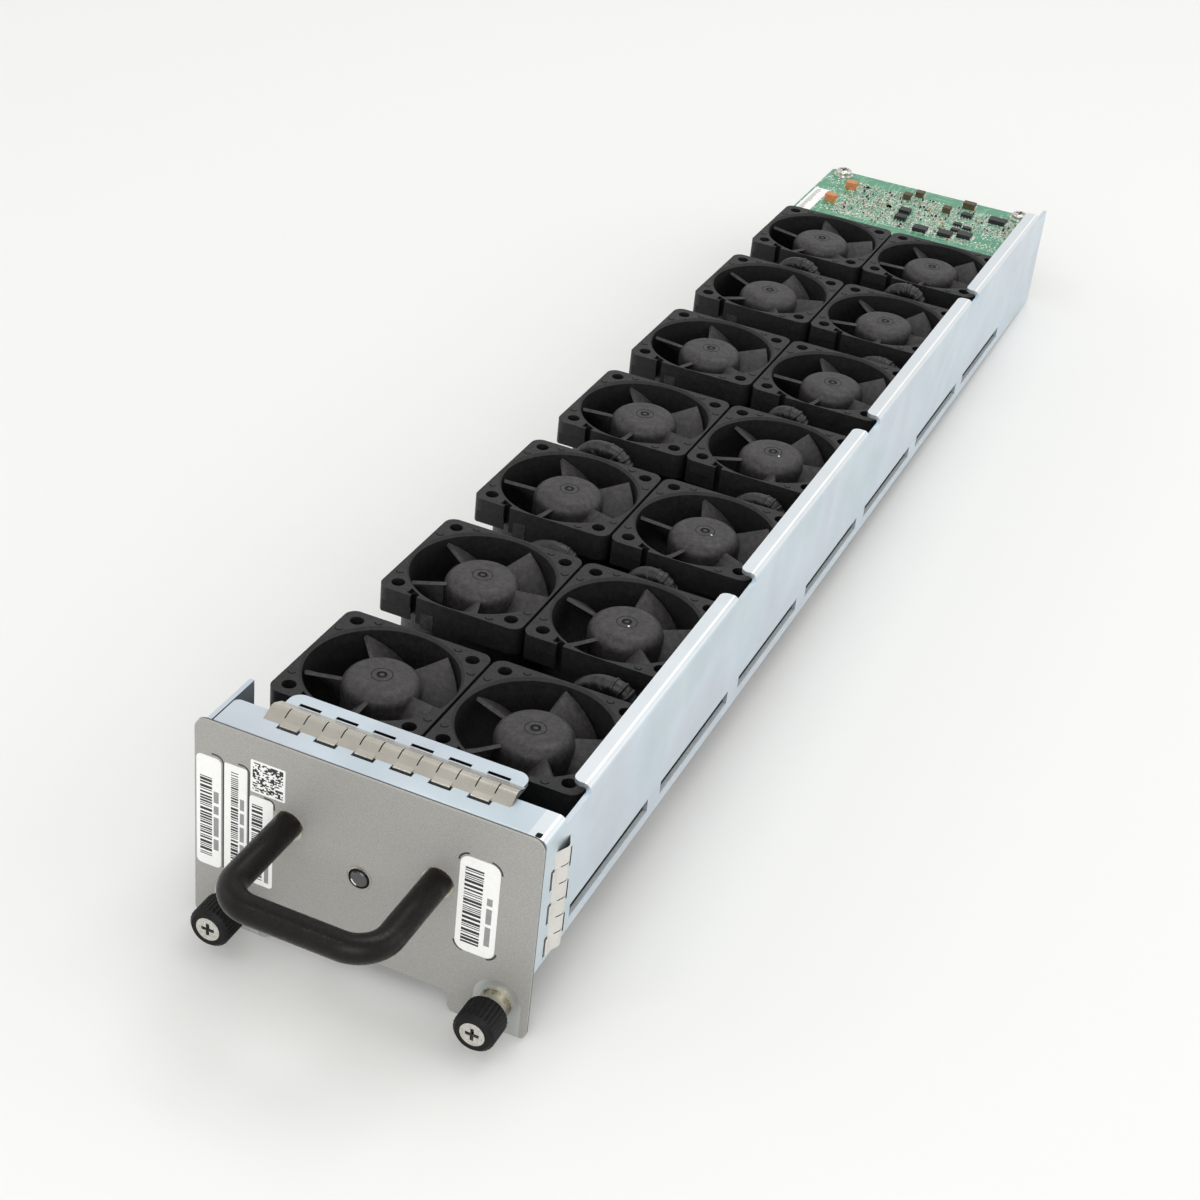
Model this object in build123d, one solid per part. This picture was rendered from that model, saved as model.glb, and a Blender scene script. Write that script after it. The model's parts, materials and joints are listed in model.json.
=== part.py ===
from build123d import *
import math
import os

# Fan tray for a rack chassis: two columns of small axial fans on a sheet-metal deck,
# a front panel with pull handle and captive screws, and a control board at the rear.
# While it is built, X = 0 is midway between the fan columns, Y = 0 is the panel's front
# face and Z = 0 is the underside of the tray. The finished pieces are then shifted so that
# the origin is the bottom centre of the whole part.

# Fan units, in millimetres
fan_rows = 7
fan_columns = 2
row_gap = 13.1
column_gap = 0.8
front_room = 23.7
side_room = 2.1
rear_room = 46.3
fan_size = 40.0
fan_height = 28.0
fan_corner = 3.0
fan_hole_inset = 4.0
fan_hole = 3.6
bore_wall = 1.0
lip_flare = 0.7
bore_rim = 0.6
flange_height = 7.6
wire_notch_offset = 9.5
wire_notch_width = 1.8
wire_notch_lip = 0.9
wire_pocket = 1.3
block_step_below = 3.8
block_step_depth = 0.5

# Motor and impeller
hub_diameter = 19.6
hub_rim = 3.6
hub_below_frame = 0.8
hub_wall = 1.55
hub_floor_gap = 5.0
base_thickness = 2.6
spoke_count = 4
spoke_width = 2.4
blade_count = 5
blade_sweep = 48.0
blade_thickness = 1.0
blade_camber = 1.3
blade_depth = 14.8
blade_below_hub = 1.7
tip_clearance = 0.6
shaft_diameter = 2.0
shaft_running_fit = 0.03
bearing_diameter = 5.0
bearing_tube_wall = 0.9
bearing_length = 13.0
winding_diameter = 15.4
winding_height = 8.0
part_fit = 0.05

# Rest angle of each impeller, front row first, left column then right column
rest_angles = [[35, 68], [50, 1], [25, 16], [30, 51], [15, 24], [60, 39], [9, 30]]

# Sheet metal
sheet = 1.2
bend_inside = 0.6
deck_height = 5.5
foot_width = 4.0
wall_height = 39.0
top_flange_width = 4.8
flange_lead = 0.9
flange_tail = 11.4
flange_corner = 2.0
bend_relief = 2.2
wall_slot_length = 45.2
wall_slot_height = 3.85
wall_slot_bottom = 4.65
wall_slot_shift = -3.46
deck_opening_inset = 1.75
left_wing_depth = 21.8
left_wing_height = 36.0
left_inset = 0.3
top_plate_depth = 10.0
top_plate_inset = 4.1
tab_left = -29.5
tab_right = 31.0
tab_depth = 9.2
tab_corner = 3.0
plate_bend = 0.8
plate_corner = 1.5

# Breaks in the top flange: number of the fan row in front, how far before its rear face, and width
flange_breaks = [(2, 2.9, 12.4), (4, 3.7, 10.8), (6, 0.3, 7.8)]

# Front panel
panel_top = 39.2
panel_thickness = 1.0
ear_drop = 17.8
ear_width = 20.1
ear_step = 5.6
panel_corner = 3.0
ear_corner = 2.0

# Handle
handle_spacing = 38.3
handle_height = 18.2
handle_diameter = 6.8
handle_reach = 28.9
handle_bend = 8.0
handle_screw_diameter = 4.0
handle_screw_depth = 8.0
screw_clearance = 0.2

# Status lamp
lamp_x = -0.3
lamp_height = 10.8
lamp_diameter = 5.2
lamp_collar = 8.0
lamp_stand_out = 0.4

# Captive thumbscrews: distance of each from its side of the panel, and their common height
thumbscrew_right_inset = 7.8
thumbscrew_left_inset = 11.3
thumbscrew_height = -9.5
thumbscrew_diameter = 4.0
thumbscrew_neck = 3.0
thread_length = 4.5
thread_chamfer = 0.5
ferrule_diameter = 6.4
ferrule_flange = 8.0
ferrule_flange_thickness = 0.8
ferrule_stand_out = 5.0
knob_diameter = 10.5
knob_length = 7.7
knob_front = 12.3
knob_cavity_diameter = 7.2
knob_cavity_depth = 5.0
knurl_teeth = 30
knurl_depth = 0.25
screw_head_diameter = 6.2
screw_head_height = 1.3
screw_tip = 7.5
captive_recess_length = 3.4
captive_recess_width = 0.9
board_recess_length = 3.2
board_recess_width = 0.8
recess_depth = 1.0
clip_diameter = 6.4
clip_thickness = 0.8
clip_gap = 0.2
spring_outside = 6.0
spring_inside = 4.6

# Contact-finger gaskets: a ridged strip, slit across its ridge, every second finger hooked into the sheet
finger_pitch = 4.8
finger_gap = 0.3
finger_slit = 3.2
finger_slit_shift = 0.7
finger_chord = 8.0
finger_slope = 25.0
ridge_radius = 2.5
finger_metal = 0.25
hook_reach = 4.9
hook_root = 3.0
hook_lip = 0.4
hook_lip_radius = 0.3
hook_depth = 1.8
hook_return = 1.2
hook_slot_width = 1.7
clip_slot_spacing = 9.6
clip_slot_length = 5.6
clip_slot_width = 1.1
top_fingers = 13
top_gasket_x = 0.6
top_gasket_y = 11.45
side_fingers = 6
side_gasket_y = 10.7
side_gasket_z = 17.6
side_gasket_relief = 17.0

# Control board
board_side_inset = 3.7
board_front_gap = 1.2
board_overhang = 3.4
board_top = 31.5
board_thickness = 1.6
board_corner = 1.0
board_screw_side_inset = 5.5
board_screw_rear_inset = 4.5
board_post_front_inset = 5.5
board_screw_diameter = 3.0
board_screw_head = 5.8
board_screw_head_height = 2.0
board_screw_rounding = 0.9
board_screw_reach = 6.0
washer_diameter = 7.4
washer_thickness = 0.5
standoff_across_flats = 5.5
connector_width = 46.0
connector_height = 9.0
connector_depth = 13.0
connector_stand_out = 3.0
connector_wall = 1.6
contact_count = 8
contact_pitch = 5.0
contact_thickness = 0.8

# Parts on the board: centre X, centre Y behind its front edge or, where negative, before its rear
# edge, size in X, size in Y, height
chip_places = [(6.3, 10.4, 5, 4, 1.4), (15.3, 11.7, 5, 4, 1.4), (28.5, -13.2, 6, 4, 1.5),
               (21.8, 14.7, 5, 4, 1.4), (16.7, 23.4, 3, 2, 1.0), (20.7, 21.8, 3, 2, 1.0),
               (17.4, 17.6, 3, 2, 1.0), (17.2, -14.8, 4, 2.5, 1.2), (-3.4, 22.9, 4, 3.5, 1.6),
               (-2.9, 16.1, 4, 3.5, 1.6)]
capacitor_places = [(-27.7, -15.1, 4.2, 3.2, 2.6), (-30.3, 17.1, 4.2, 3.2, 2.6)]
choke_places = [(-6.8, -11.4, 3, 3, 2.0), (-3.4, -6.4, 3, 3, 2.0), (9.5, -14.7, 3, 3, 2.0),
                (15.6, -5.8, 4.5, 3, 2.2)]

# Fan leads: how far each hump stands to the right of its wire notch, how wide it is, and how far
# its top is above the fans, row by row from the front, left column then right column
lead_diameter = 4.4
lead_start_height = 10.0
lead_humps = [[(0, 12, -7.5), (0, 12, -7.5)],
              [(0, 13, -7.5), (11, 12, 0.4)],
              [(13, 10.5, -1.8), (0, 11, -0.4)],
              [(1, 15, 1.3), (11.5, 10, -0.3)],
              [(0, 12, -7.5), (0, 9.5, 0.6)],
              [(0, 12, -7.5), (12, 10, -1.2)],
              [(5.5, 11, 1.3), (3, 10.5, 2.0)]]
plug_width = 9.0
plug_depth = 6.0
plug_height = 8.0
header_width = 11.0
header_depth = 7.4
header_height = 4.0

# Fan screws, driven up through the deck into two corners of each frame
fan_screw_diameter = 3.1
fan_screw_head = 5.6
fan_screw_head_height = 1.8
fan_screw_reach = 8.5

# Length of a cutter that passes through a sheet or a sleeve
through_cut = 20.0

# Sizes that follow from the ones above
row_pitch = fan_size + row_gap
column_pitch = fan_size + column_gap
first_row_y = panel_thickness + front_room + fan_size / 2
rows_rear = first_row_y + (fan_rows - 1) * row_pitch + fan_size / 2
fan_bore = fan_size - 2 * bore_wall
fan_hole_pitch = fan_size - 2 * fan_hole_inset
deck_opening = fan_size - 2 * deck_opening_inset
tray_rear = rows_rear + rear_room
tray_length = tray_rear - panel_thickness
panel_width = (fan_columns - 1) * column_pitch + fan_size + 2 * (side_room + sheet)
wall_outside = panel_width / 2
wall_inside = wall_outside - sheet
deck_left = left_inset - wall_outside
deck_underside = deck_height - sheet
top_plate_left = top_plate_inset - wall_outside
plate_underside = wall_height - sheet
waist_radius = fan_bore / 2 + lip_flare + bore_rim
hub_radius = hub_diameter / 2
rotor_radius = fan_bore / 2 - tip_clearance
shaft_radius = shaft_diameter / 2
bearing_bore = shaft_radius + shaft_running_fit
bearing_tube_bore = bearing_diameter / 2 + part_fit
fan_top = deck_height + fan_height
thumbscrew_right = wall_outside - thumbscrew_right_inset
thumbscrew_left = thumbscrew_left_inset - wall_outside
board_underside = board_top - board_thickness
board_width = panel_width - 2 * board_side_inset
board_front = rows_rear + board_front_gap
board_rear = tray_rear + board_overhang
board_screw_x = board_width / 2 - board_screw_side_inset
board_screw_y = board_rear - board_screw_rear_inset
board_front_post_y = board_front + board_post_front_inset
connector_rear = board_rear + connector_stand_out
handle_radius = handle_diameter / 2
front_most = -handle_reach - handle_radius
slope = math.radians(finger_slope)
finger_crest = finger_chord / 2 * math.tan(slope) - ridge_radius * (1 / math.cos(slope) - 1)
right_most = wall_outside + finger_crest
left_most = -wall_outside
to_origin = Pos(-(left_most + right_most) / 2, -(front_most + connector_rear) / 2, ear_drop)
low = (Align.CENTER, Align.CENTER, Align.MIN)


# A box between two corners
def block(x0, x1, y0, y1, z0, z1):
    return Pos((x0 + x1) / 2, (y0 + y1) / 2, (z0 + z1) / 2) * Box(x1 - x0, y1 - y0, z1 - z0)


# A cylinder that stands on its foot
def post(radius, height, x=0.0, y=0.0, z=0.0):
    return Pos(x, y, z) * Cylinder(radius, height, align=low)


# A round cutter that passes through a sheet at Z = 0
def drill(radius):
    return post(radius, through_cut, z=-through_cut / 2)


# Cross recess, cut down from the top of a screw's head
def cross_recess(length, width, top):
    slot = Pos(0, 0, top - recess_depth) * Box(length, width, recess_depth, align=low)
    return slot + Rot(0, 0, 90) * slot


# Places a part built along +Z so that it points out of the panel's front face
def facing_front(x, z):
    return Pos(x, 0, z) * Rot(90, 0, 0)


# The edges along one axis that lie at one place on another axis
def edges_at(shape, along, across, place):
    return shape.edges().filter_by(along).filter_by_position(across, place - 0.01, place + 0.01)


def fan_centre(row, column):
    x = (column - (fan_columns - 1) / 2) * column_pitch
    return x, first_row_y + row * row_pitch


# Slot for the lead in the front edge of a housing: a lip on its left keeps the lead in the pocket behind
def wire_notch():
    front = -fan_size / 2
    back = front + fan_size / 4
    left = -wire_notch_offset - wire_notch_width / 2
    right = left + wire_notch_width
    notch = block(left, right, front, back, 0, fan_height)
    notch += block(left - wire_pocket, right, front + wire_notch_lip, back, 0, fan_height)
    notch -= post(waist_radius, fan_height)
    top = fan_height - block_step_below
    return notch + block(front, left, front, front + block_step_depth, fan_height - flange_height, top)


# One fan housing: square flanges joined by a round waist, flared bore, spokes and motor base, on Z = 0
def fan_frame():
    bore_radius = fan_bore / 2
    frame = extrude(RectangleRounded(fan_size, fan_size, fan_corner), fan_height)
    waist = fan_height - 2 * flange_height
    around = block(-fan_size, fan_size, -fan_size, fan_size, flange_height, flange_height + waist)
    frame -= around - post(waist_radius, waist, z=flange_height)
    frame -= post(bore_radius, fan_height)
    flare = Cone(bore_radius, bore_radius + lip_flare, lip_flare, align=low)
    frame -= Pos(0, 0, fan_height - lip_flare) * flare
    frame -= Pos(0, 0, lip_flare) * Rot(180, 0, 0) * flare
    frame += post(hub_radius, base_thickness)
    reach = bore_radius + (fan_size / 2 - bore_radius) / 2
    spoke = block(hub_radius - 1, reach, -spoke_width / 2, spoke_width / 2, 0, base_thickness)
    for step in range(spoke_count):
        frame += Rot(0, 0, 45 + step * 360 / spoke_count) * spoke
    frame += post(bearing_tube_bore + bearing_tube_wall, base_thickness + bearing_length)
    frame -= post(bearing_tube_bore, base_thickness + bearing_length, z=base_thickness / 2)
    for x in (-1, 1):
        for y in (-1, 1):
            frame -= post(fan_hole / 2, fan_height, x * fan_hole_pitch / 2, y * fan_hole_pitch / 2)
    return frame - wire_notch()


# The outline of a blade on a flat plane at one distance from the axis
def blade_section(distance, rise):
    half = distance * math.tan(math.radians(blade_sweep / 2))
    top = fan_height - hub_below_frame - blade_below_hub + rise
    lead = Vector(half, top)
    trail = Vector(-half, top - blade_depth)
    chord = lead - trail
    across = Vector(-chord.Y, chord.X).normalized()
    middle = (lead + trail) / 2 + across * blade_camber
    step = across * blade_thickness
    upper = ThreePointArc(lead, middle, trail)
    lower = ThreePointArc(lead - step, middle - step, trail - step)
    ends = [Line(trail, trail - step), Line(lead, lead - step)]
    face = make_face([upper, ends[0], lower, ends[1]])
    return Plane(origin=(distance, 0, 0), x_dir=(0, 1, 0), z_dir=(1, 0, 0)) * face


# Hub cup, shaft and twisted blades, moulded in one
def impeller():
    top = fan_height - hub_below_frame
    bottom = base_thickness + hub_floor_gap
    cavity_radius = hub_radius - hub_wall
    hub = post(hub_radius, top - bottom, z=bottom)
    hub = fillet(hub.edges().group_by(Axis.Z)[-1], hub_rim)
    root = blade_section(cavity_radius + 0.1, 0)
    tip = blade_section(rotor_radius + 0.4, 1.2)
    blade = loft([root, tip], ruled=True) & post(rotor_radius, fan_height)
    for step in range(blade_count):
        hub += Rot(0, 0, step * 360 / blade_count) * blade
    hub -= post(cavity_radius, top - hub_wall * 1.4 - bottom, z=bottom)
    foot = base_thickness + 1.0
    hub += post(shaft_radius, top - hub_wall - foot, z=foot)
    return hub


# Sleeve bearing in the fan's centre tube
def bearing():
    sleeve = post(bearing_diameter / 2, bearing_length - 1.0, z=base_thickness + 1.0)
    return sleeve - post(bearing_bore, bearing_length, z=base_thickness)


# Stator winding on the outside of the bearing tube
def winding():
    inside = bearing_tube_bore + bearing_tube_wall + part_fit
    ring = post(winding_diameter / 2, winding_height, z=base_thickness + 3.5)
    return ring - post(inside, winding_height, z=base_thickness + 3.5)


def fan_screw():
    head = post(fan_screw_head / 2, fan_screw_head_height, z=deck_underside - fan_screw_head_height)
    return head + post(fan_screw_diameter / 2, sheet + fan_screw_reach, z=deck_underside)


# Where the top flange of the side wall is cut away: behind the front plate, at its breaks and at the rear
def flange_cuts():
    y0 = panel_thickness
    cuts = [(y0 + top_plate_depth, y0 + front_room - flange_lead)]
    for number, lead, width in flange_breaks:
        start = fan_centre(number - 1, 0)[1] + fan_size / 2 - lead
        cuts.append((start, start + width))
    return cuts + [(tray_rear - flange_tail, tray_rear)]


# Right wall with its foot, its air slots and its broken top flange
def side_shell():
    y0 = panel_thickness
    inner = wall_outside - top_flange_width
    shell = block(wall_inside, wall_outside, y0, tray_rear, 0, wall_height)
    shell += block(wall_outside - foot_width, wall_outside, y0, tray_rear, 0, sheet)
    shell += block(inner, wall_outside, y0, tray_rear, plate_underside, wall_height)
    shell = fillet(edges_at(shell, Axis.Y, Axis.X, wall_outside), bend_inside + sheet)
    shell = fillet(edges_at(shell, Axis.Y, Axis.X, wall_inside), bend_inside)
    for start, end in flange_cuts():
        shell -= block(inner - 1, wall_outside + 1, start, end, wall_height - bend_relief, wall_height + 1)
    free = edges_at(shell, Axis.Z, Axis.X, inner)
    shell = fillet([edge for edge in free if edge.center().Y > y0 + top_plate_depth + 1], flange_corner)
    for row in range(fan_rows):
        centre = fan_centre(row, 0)[1] + wall_slot_shift
        shell -= block(wall_inside - 1, wall_outside + 1, centre - wall_slot_length / 2,
                       centre + wall_slot_length / 2, wall_slot_bottom, wall_slot_bottom + wall_slot_height)
    return shell - side_gasket_place() * clip_slots(side_fingers)


# Bracket behind the panel, bent from one sheet: front wall, top plate with a tab for the gasket, left wing
def front_bracket():
    y0 = panel_thickness
    inner = wall_outside - top_flange_width
    bracket = block(deck_left, wall_inside - bend_inside, y0, y0 + sheet, deck_height, plate_underside)
    plate = block(top_plate_left, inner, y0, y0 + top_plate_depth, plate_underside, wall_height)
    bend = plate.edges().filter_by(Axis.X).group_by(Axis.Y)[0].group_by(Axis.Z)[-1]
    bracket += fillet(bend, plate_bend)
    tab = block(tab_left, tab_right, y0 + top_plate_depth, y0 + top_plate_depth + tab_depth,
                plate_underside, wall_height)
    ends = tab.edges().filter_by(Axis.Z).group_by(Axis.Y)[-1]
    bracket += fillet(ends, tab_corner)
    bracket = fillet(edges_at(bracket, Axis.Z, Axis.X, top_plate_left).group_by(Axis.Y)[-1], plate_corner)
    bracket += block(deck_left, deck_left + sheet, y0, y0 + left_wing_depth, deck_height, left_wing_height)
    bracket -= facing_front(lamp_x, lamp_height) * drill(lamp_diameter / 2 + part_fit)
    for side in (-1, 1):
        hole = drill(handle_screw_diameter / 2 + screw_clearance)
        bracket -= facing_front(side * handle_spacing / 2, handle_height) * hole
    return bracket - top_gasket_place() * clip_slots(top_fingers)


# Deck that the fans stand on, with its legs on the left, the right and at the rear
def fan_deck():
    y0 = panel_thickness
    deck = block(deck_left, wall_inside, y0, tray_rear, deck_underside, deck_height)
    deck += block(deck_left, deck_left + sheet, y0, tray_rear, 0, deck_height)
    deck += block(deck_left, deck_left + foot_width, y0, tray_rear, 0, sheet)
    above_bend = sheet + bend_inside
    deck += block(wall_inside - sheet, wall_inside, y0, tray_rear, above_bend, deck_height)
    deck += block(deck_left + sheet, wall_inside - sheet, tray_rear - sheet, tray_rear, above_bend,
                  deck_height)
    deck -= block(wall_inside - sheet, wall_outside, y0, side_gasket_relief, 0, deck_height + 1)
    for row in range(fan_rows):
        for column in range(fan_columns):
            x, y = fan_centre(row, column)
            deck -= post(deck_opening / 2, sheet + 2, x, y, deck_underside - 1)
            for sign in (-1, 1):
                offset = sign * fan_hole_pitch / 2
                hole = fan_screw_diameter / 2 + screw_clearance
                deck -= post(hole, sheet + 2, x + offset, y - offset, deck_underside - 1)
    return deck


# Painted front panel with two lower ears
def front_panel():
    half = panel_width / 2
    inner = half - ear_width
    raised = -ear_drop + ear_step
    corners = [(-half, -ear_drop), (-inner, -ear_drop), (-inner, raised), (inner, raised),
               (inner, -ear_drop), (half, -ear_drop), (half, panel_top), (-half, panel_top)]
    outline = make_face(Polyline(*corners, close=True))
    tops = outline.vertices().group_by(Axis.Y)[-1]
    outline = fillet(tops, panel_corner)
    ears = outline.vertices().group_by(Axis.Y)[0]
    outline = fillet(ears, ear_corner)
    roots = outline.vertices().filter_by_position(Axis.Y, raised - 0.01, raised + 0.01)
    outline = fillet(roots, ear_corner)
    panel = extrude(Plane.XZ * outline, -panel_thickness)
    for x in (thumbscrew_left, thumbscrew_right):
        panel -= facing_front(x, thumbscrew_height) * drill(ferrule_diameter / 2)
    for side in (-1, 1):
        hole = drill(handle_screw_diameter / 2 + screw_clearance)
        panel -= facing_front(side * handle_spacing / 2, handle_height) * hole
    return panel - facing_front(lamp_x, lamp_height) * drill(lamp_diameter / 2 + part_fit)


# Bent round bar, tapped at both ends
def handle():
    half = handle_spacing / 2
    points = [(-half, 0, handle_height), (-half, -handle_reach, handle_height),
              (half, -handle_reach, handle_height), (half, 0, handle_height)]
    path = FilletPolyline(*points, radius=handle_bend)
    section = Plane(origin=points[0], z_dir=(0, -1, 0)) * Circle(handle_radius)
    bar = sweep(section, path=path)
    for side in (-1, 1):
        hole = post(handle_screw_diameter / 2 + part_fit, handle_screw_depth + 0.5)
        bar -= facing_front(side * half, handle_height) * hole
    return bar


def handle_screws():
    screws = []
    behind = panel_thickness + sheet
    for side in (-1, 1):
        screw = post(handle_screw_diameter / 2, behind + handle_screw_depth, z=-behind)
        screw += post(handle_screw_diameter * 0.9, 2.4, z=-behind - 2.4)
        screws.append(facing_front(side * handle_spacing / 2, handle_height) * screw)
    return screws


# Domed light pipe with a collar behind the deck's front wall
def status_lamp():
    behind = panel_thickness + sheet
    lens = post(lamp_diameter / 2, behind + lamp_stand_out + 1.5, z=-behind - 1.5)
    lens = fillet(lens.edges().group_by(Axis.Z)[-1], lamp_stand_out)
    lens += post(lamp_collar / 2, 1.5, z=-behind - 1.5)
    return facing_front(lamp_x, lamp_height) * lens


# Pressed-in sleeve that carries a thumbscrew
def ferrule():
    sleeve = post(ferrule_diameter / 2, panel_thickness + ferrule_stand_out, z=-panel_thickness)
    sleeve += post(ferrule_flange / 2, ferrule_flange_thickness)
    return sleeve - drill(thumbscrew_neck / 2 + part_fit)


# Knurled cap that slides over the ferrule
def knob():
    points = []
    for step in range(knurl_teeth * 2):
        angle = math.pi * step / knurl_teeth
        radius = knob_diameter / 2 - knurl_depth * (step % 2)
        points.append((radius * math.cos(angle), radius * math.sin(angle)))
    rear = knob_front - knob_length
    cap = Pos(0, 0, rear) * extrude(make_face(Polyline(*points, close=True)), knob_length)
    blank = post(knob_diameter / 2 + 0.1, knob_length, z=rear)
    blank = chamfer(blank.edges().group_by(Axis.Z)[-1], 1.0)
    blank = chamfer(blank.edges().group_by(Axis.Z)[0], 0.6)
    cap &= blank
    cap -= post(knob_cavity_diameter / 2, knob_cavity_depth, z=rear)
    cap -= post(thumbscrew_neck / 2, knob_length, z=rear)
    return cap - post(screw_head_diameter / 2, screw_head_height, z=knob_front - screw_head_height)


# Cross-recess screw pressed into the knob: its neck runs in the ferrule, which its thread can't pass
def captive_screw():
    head_bottom = knob_front - screw_head_height
    thread = post(thumbscrew_diameter / 2, thread_length, z=-screw_tip)
    screw = chamfer(thread.edges().group_by(Axis.Z)[0], thread_chamfer)
    screw += post(thumbscrew_neck / 2, head_bottom + screw_tip - thread_length, z=thread_length - screw_tip)
    screw += post(screw_head_diameter / 2, screw_head_height, z=head_bottom)
    return screw - cross_recess(captive_recess_length, captive_recess_width, knob_front)


# Split-ring stop that keeps the screw in the panel
def retaining_clip():
    front = -panel_thickness - clip_gap
    ring = post(clip_diameter / 2, clip_thickness, z=front - clip_thickness)
    return ring - post(thumbscrew_neck / 2 + part_fit, clip_thickness, z=front - clip_thickness)


# Room taken by the coil spring between ferrule and knob
def spring():
    length = knob_front - knob_length + knob_cavity_depth - ferrule_stand_out
    tube = post(spring_outside / 2, length, z=ferrule_stand_out)
    return tube - post(spring_inside / 2, length, z=ferrule_stand_out)


# A profile on the YZ plane, extruded to a width about X = 0
def band(face, width):
    return Pos(-width / 2, 0, 0) * extrude(Plane.YZ * face, width)


# Two thin flanks that rise from Z = 0 and meet in a round ridge
def strip_profile():
    half = finger_chord / 2
    inner_half = half - finger_metal / math.sin(slope)
    ridge = (0, half * math.tan(slope))
    inner_ridge = (0, inner_half * math.tan(slope))
    corners = [(-half, 0), ridge, (half, 0), (inner_half, 0), inner_ridge, (-inner_half, 0)]
    face = make_face(Polyline(*corners, close=True))
    peaks = face.vertices().filter_by_position(Axis.X, -0.01, 0.01).sort_by(Axis.Y)
    face = fillet(peaks[-1:], ridge_radius)
    peaks = face.vertices().filter_by_position(Axis.X, -0.01, 0.01)
    return fillet(peaks, ridge_radius - finger_metal)


# Lip of a hooked finger: it leaves the flank, rolls over and goes down through its slot
def hook_profile():
    rise = (finger_chord / 2 - hook_root) * math.tan(slope)
    clear = 0.1
    end = hook_return - hook_reach
    bottom = finger_metal - hook_depth
    corners = [(-hook_reach, hook_lip), (-hook_reach, -hook_depth), (end, -hook_depth), (end, bottom),
               (finger_metal - hook_reach, bottom), (finger_metal - hook_reach, clear),
               (-hook_root, clear), (-hook_root, rise)]
    face = make_face(Polyline(*corners, close=True))
    lip = face.vertices().group_by(Axis.X)[0].sort_by(Axis.Y)[-1:]
    return fillet(lip, hook_lip_radius)


# Row of contact fingers from one strip
def finger_strip(fingers):
    width = finger_pitch - finger_gap
    strip = band(strip_profile(), fingers * finger_pitch - finger_gap)
    slit = Box(finger_gap, finger_slit, finger_crest * 3)
    for index in range(1, fingers):
        strip -= Pos((index - fingers / 2) * finger_pitch, -finger_slit_shift, 0) * slit
    hook = band(hook_profile(), width)
    for index in range(1, fingers, 2):
        strip += Pos((index - (fingers - 1) / 2) * finger_pitch, 0, 0) * hook
    return strip


# Holes in the sheet for the hooked fingers
def clip_slots(fingers):
    slots = []
    for index in range(1, fingers, 2):
        x = (index - (fingers - 1) / 2) * finger_pitch
        for side, width in ((-1, hook_slot_width), (1, clip_slot_width)):
            slots.append(Pos(x, side * clip_slot_spacing / 2, -sheet / 2)
                         * Box(clip_slot_length, width, sheet + 1))
    return Compound(children=slots)


def top_gasket_place():
    return Pos(top_gasket_x, top_gasket_y, wall_height)


def side_gasket_place():
    return Pos(wall_outside, side_gasket_y, side_gasket_z) * Rot(0, 90, 0)


def control_board():
    board = block(-board_width / 2, board_width / 2, board_front, board_rear, board_underside, board_top)
    board = fillet(board.edges().filter_by(Axis.Z), board_corner)
    for side in (-1, 1):
        hole = board_screw_diameter / 2 + screw_clearance
        board -= post(hole, board_thickness + 2, side * board_screw_x, board_screw_y, board_underside - 1)
    return board


# Hexagonal posts between deck and board
def board_standoffs():
    posts = []
    for side in (-1, 1):
        for y in (board_front_post_y, board_screw_y):
            hexagon = RegularPolygon(standoff_across_flats / 2, 6, major_radius=False)
            place = Pos(side * board_screw_x, y, deck_height)
            column = extrude(place * hexagon, board_underside - deck_height)
            hole = board_screw_diameter / 2 + part_fit
            column -= post(hole, 8, side * board_screw_x, y, board_underside - 8)
            posts.append(column)
    return posts


def board_washers():
    washers = []
    for side in (-1, 1):
        washer = post(washer_diameter / 2, washer_thickness)
        washer -= post(board_screw_diameter / 2 + screw_clearance, washer_thickness)
        washers.append(Pos(side * board_screw_x, board_screw_y, board_top) * washer)
    return washers


def board_screws():
    screws = []
    for side in (-1, 1):
        head = post(board_screw_head / 2, board_screw_head_height, z=washer_thickness)
        head = fillet(head.edges().group_by(Axis.Z)[-1], board_screw_rounding)
        top = washer_thickness + board_screw_head_height
        head -= cross_recess(board_recess_length, board_recess_width, top)
        length = board_thickness + washer_thickness + board_screw_reach
        head += post(board_screw_diameter / 2, length, z=washer_thickness - length)
        screws.append(Pos(side * board_screw_x, board_screw_y, board_top) * head)
    return screws


# Plain bodies of the parts that stand on the board
def board_blocks(places):
    blocks = []
    for x, inset, dx, dy, height in places:
        y = inset + (board_front if inset > 0 else board_rear)
        blocks.append(block(x - dx / 2, x + dx / 2, y - dy / 2, y + dy / 2, board_top, board_top + height))
    return blocks


# Plug-in power connector under the board's rear edge
def rear_connector():
    front = connector_rear - connector_depth
    bottom = board_underside - connector_height
    half = connector_width / 2
    housing = block(-half, half, front, connector_rear, bottom, board_underside)
    housing -= block(-half + connector_wall, half - connector_wall, front + connector_wall * 2,
                     connector_rear, bottom + connector_wall, board_underside - connector_wall)
    return housing


def connector_contacts():
    contacts = []
    front = connector_rear - connector_depth + connector_wall * 2
    bottom = board_underside - connector_height + connector_wall
    top = board_underside - connector_wall
    for index in range(contact_count):
        x = (index - (contact_count - 1) / 2) * contact_pitch
        contacts.append(block(x - contact_thickness / 2, x + contact_thickness / 2, front, connector_rear - 3,
                              bottom + 1, top - 1))
    return contacts


# Where the lead of one fan leaves its notch, where it rises and falls, and the middle of the gap it is in
def lead_spots(row, column):
    x, y = fan_centre(row, column)
    start, width = lead_humps[row][column][:2]
    notch = x - wire_notch_offset
    face = y - fan_size / 2
    middle = face - (row_pitch - fan_size) / 2
    return notch, notch + start, notch + start + width, face, middle


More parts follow.
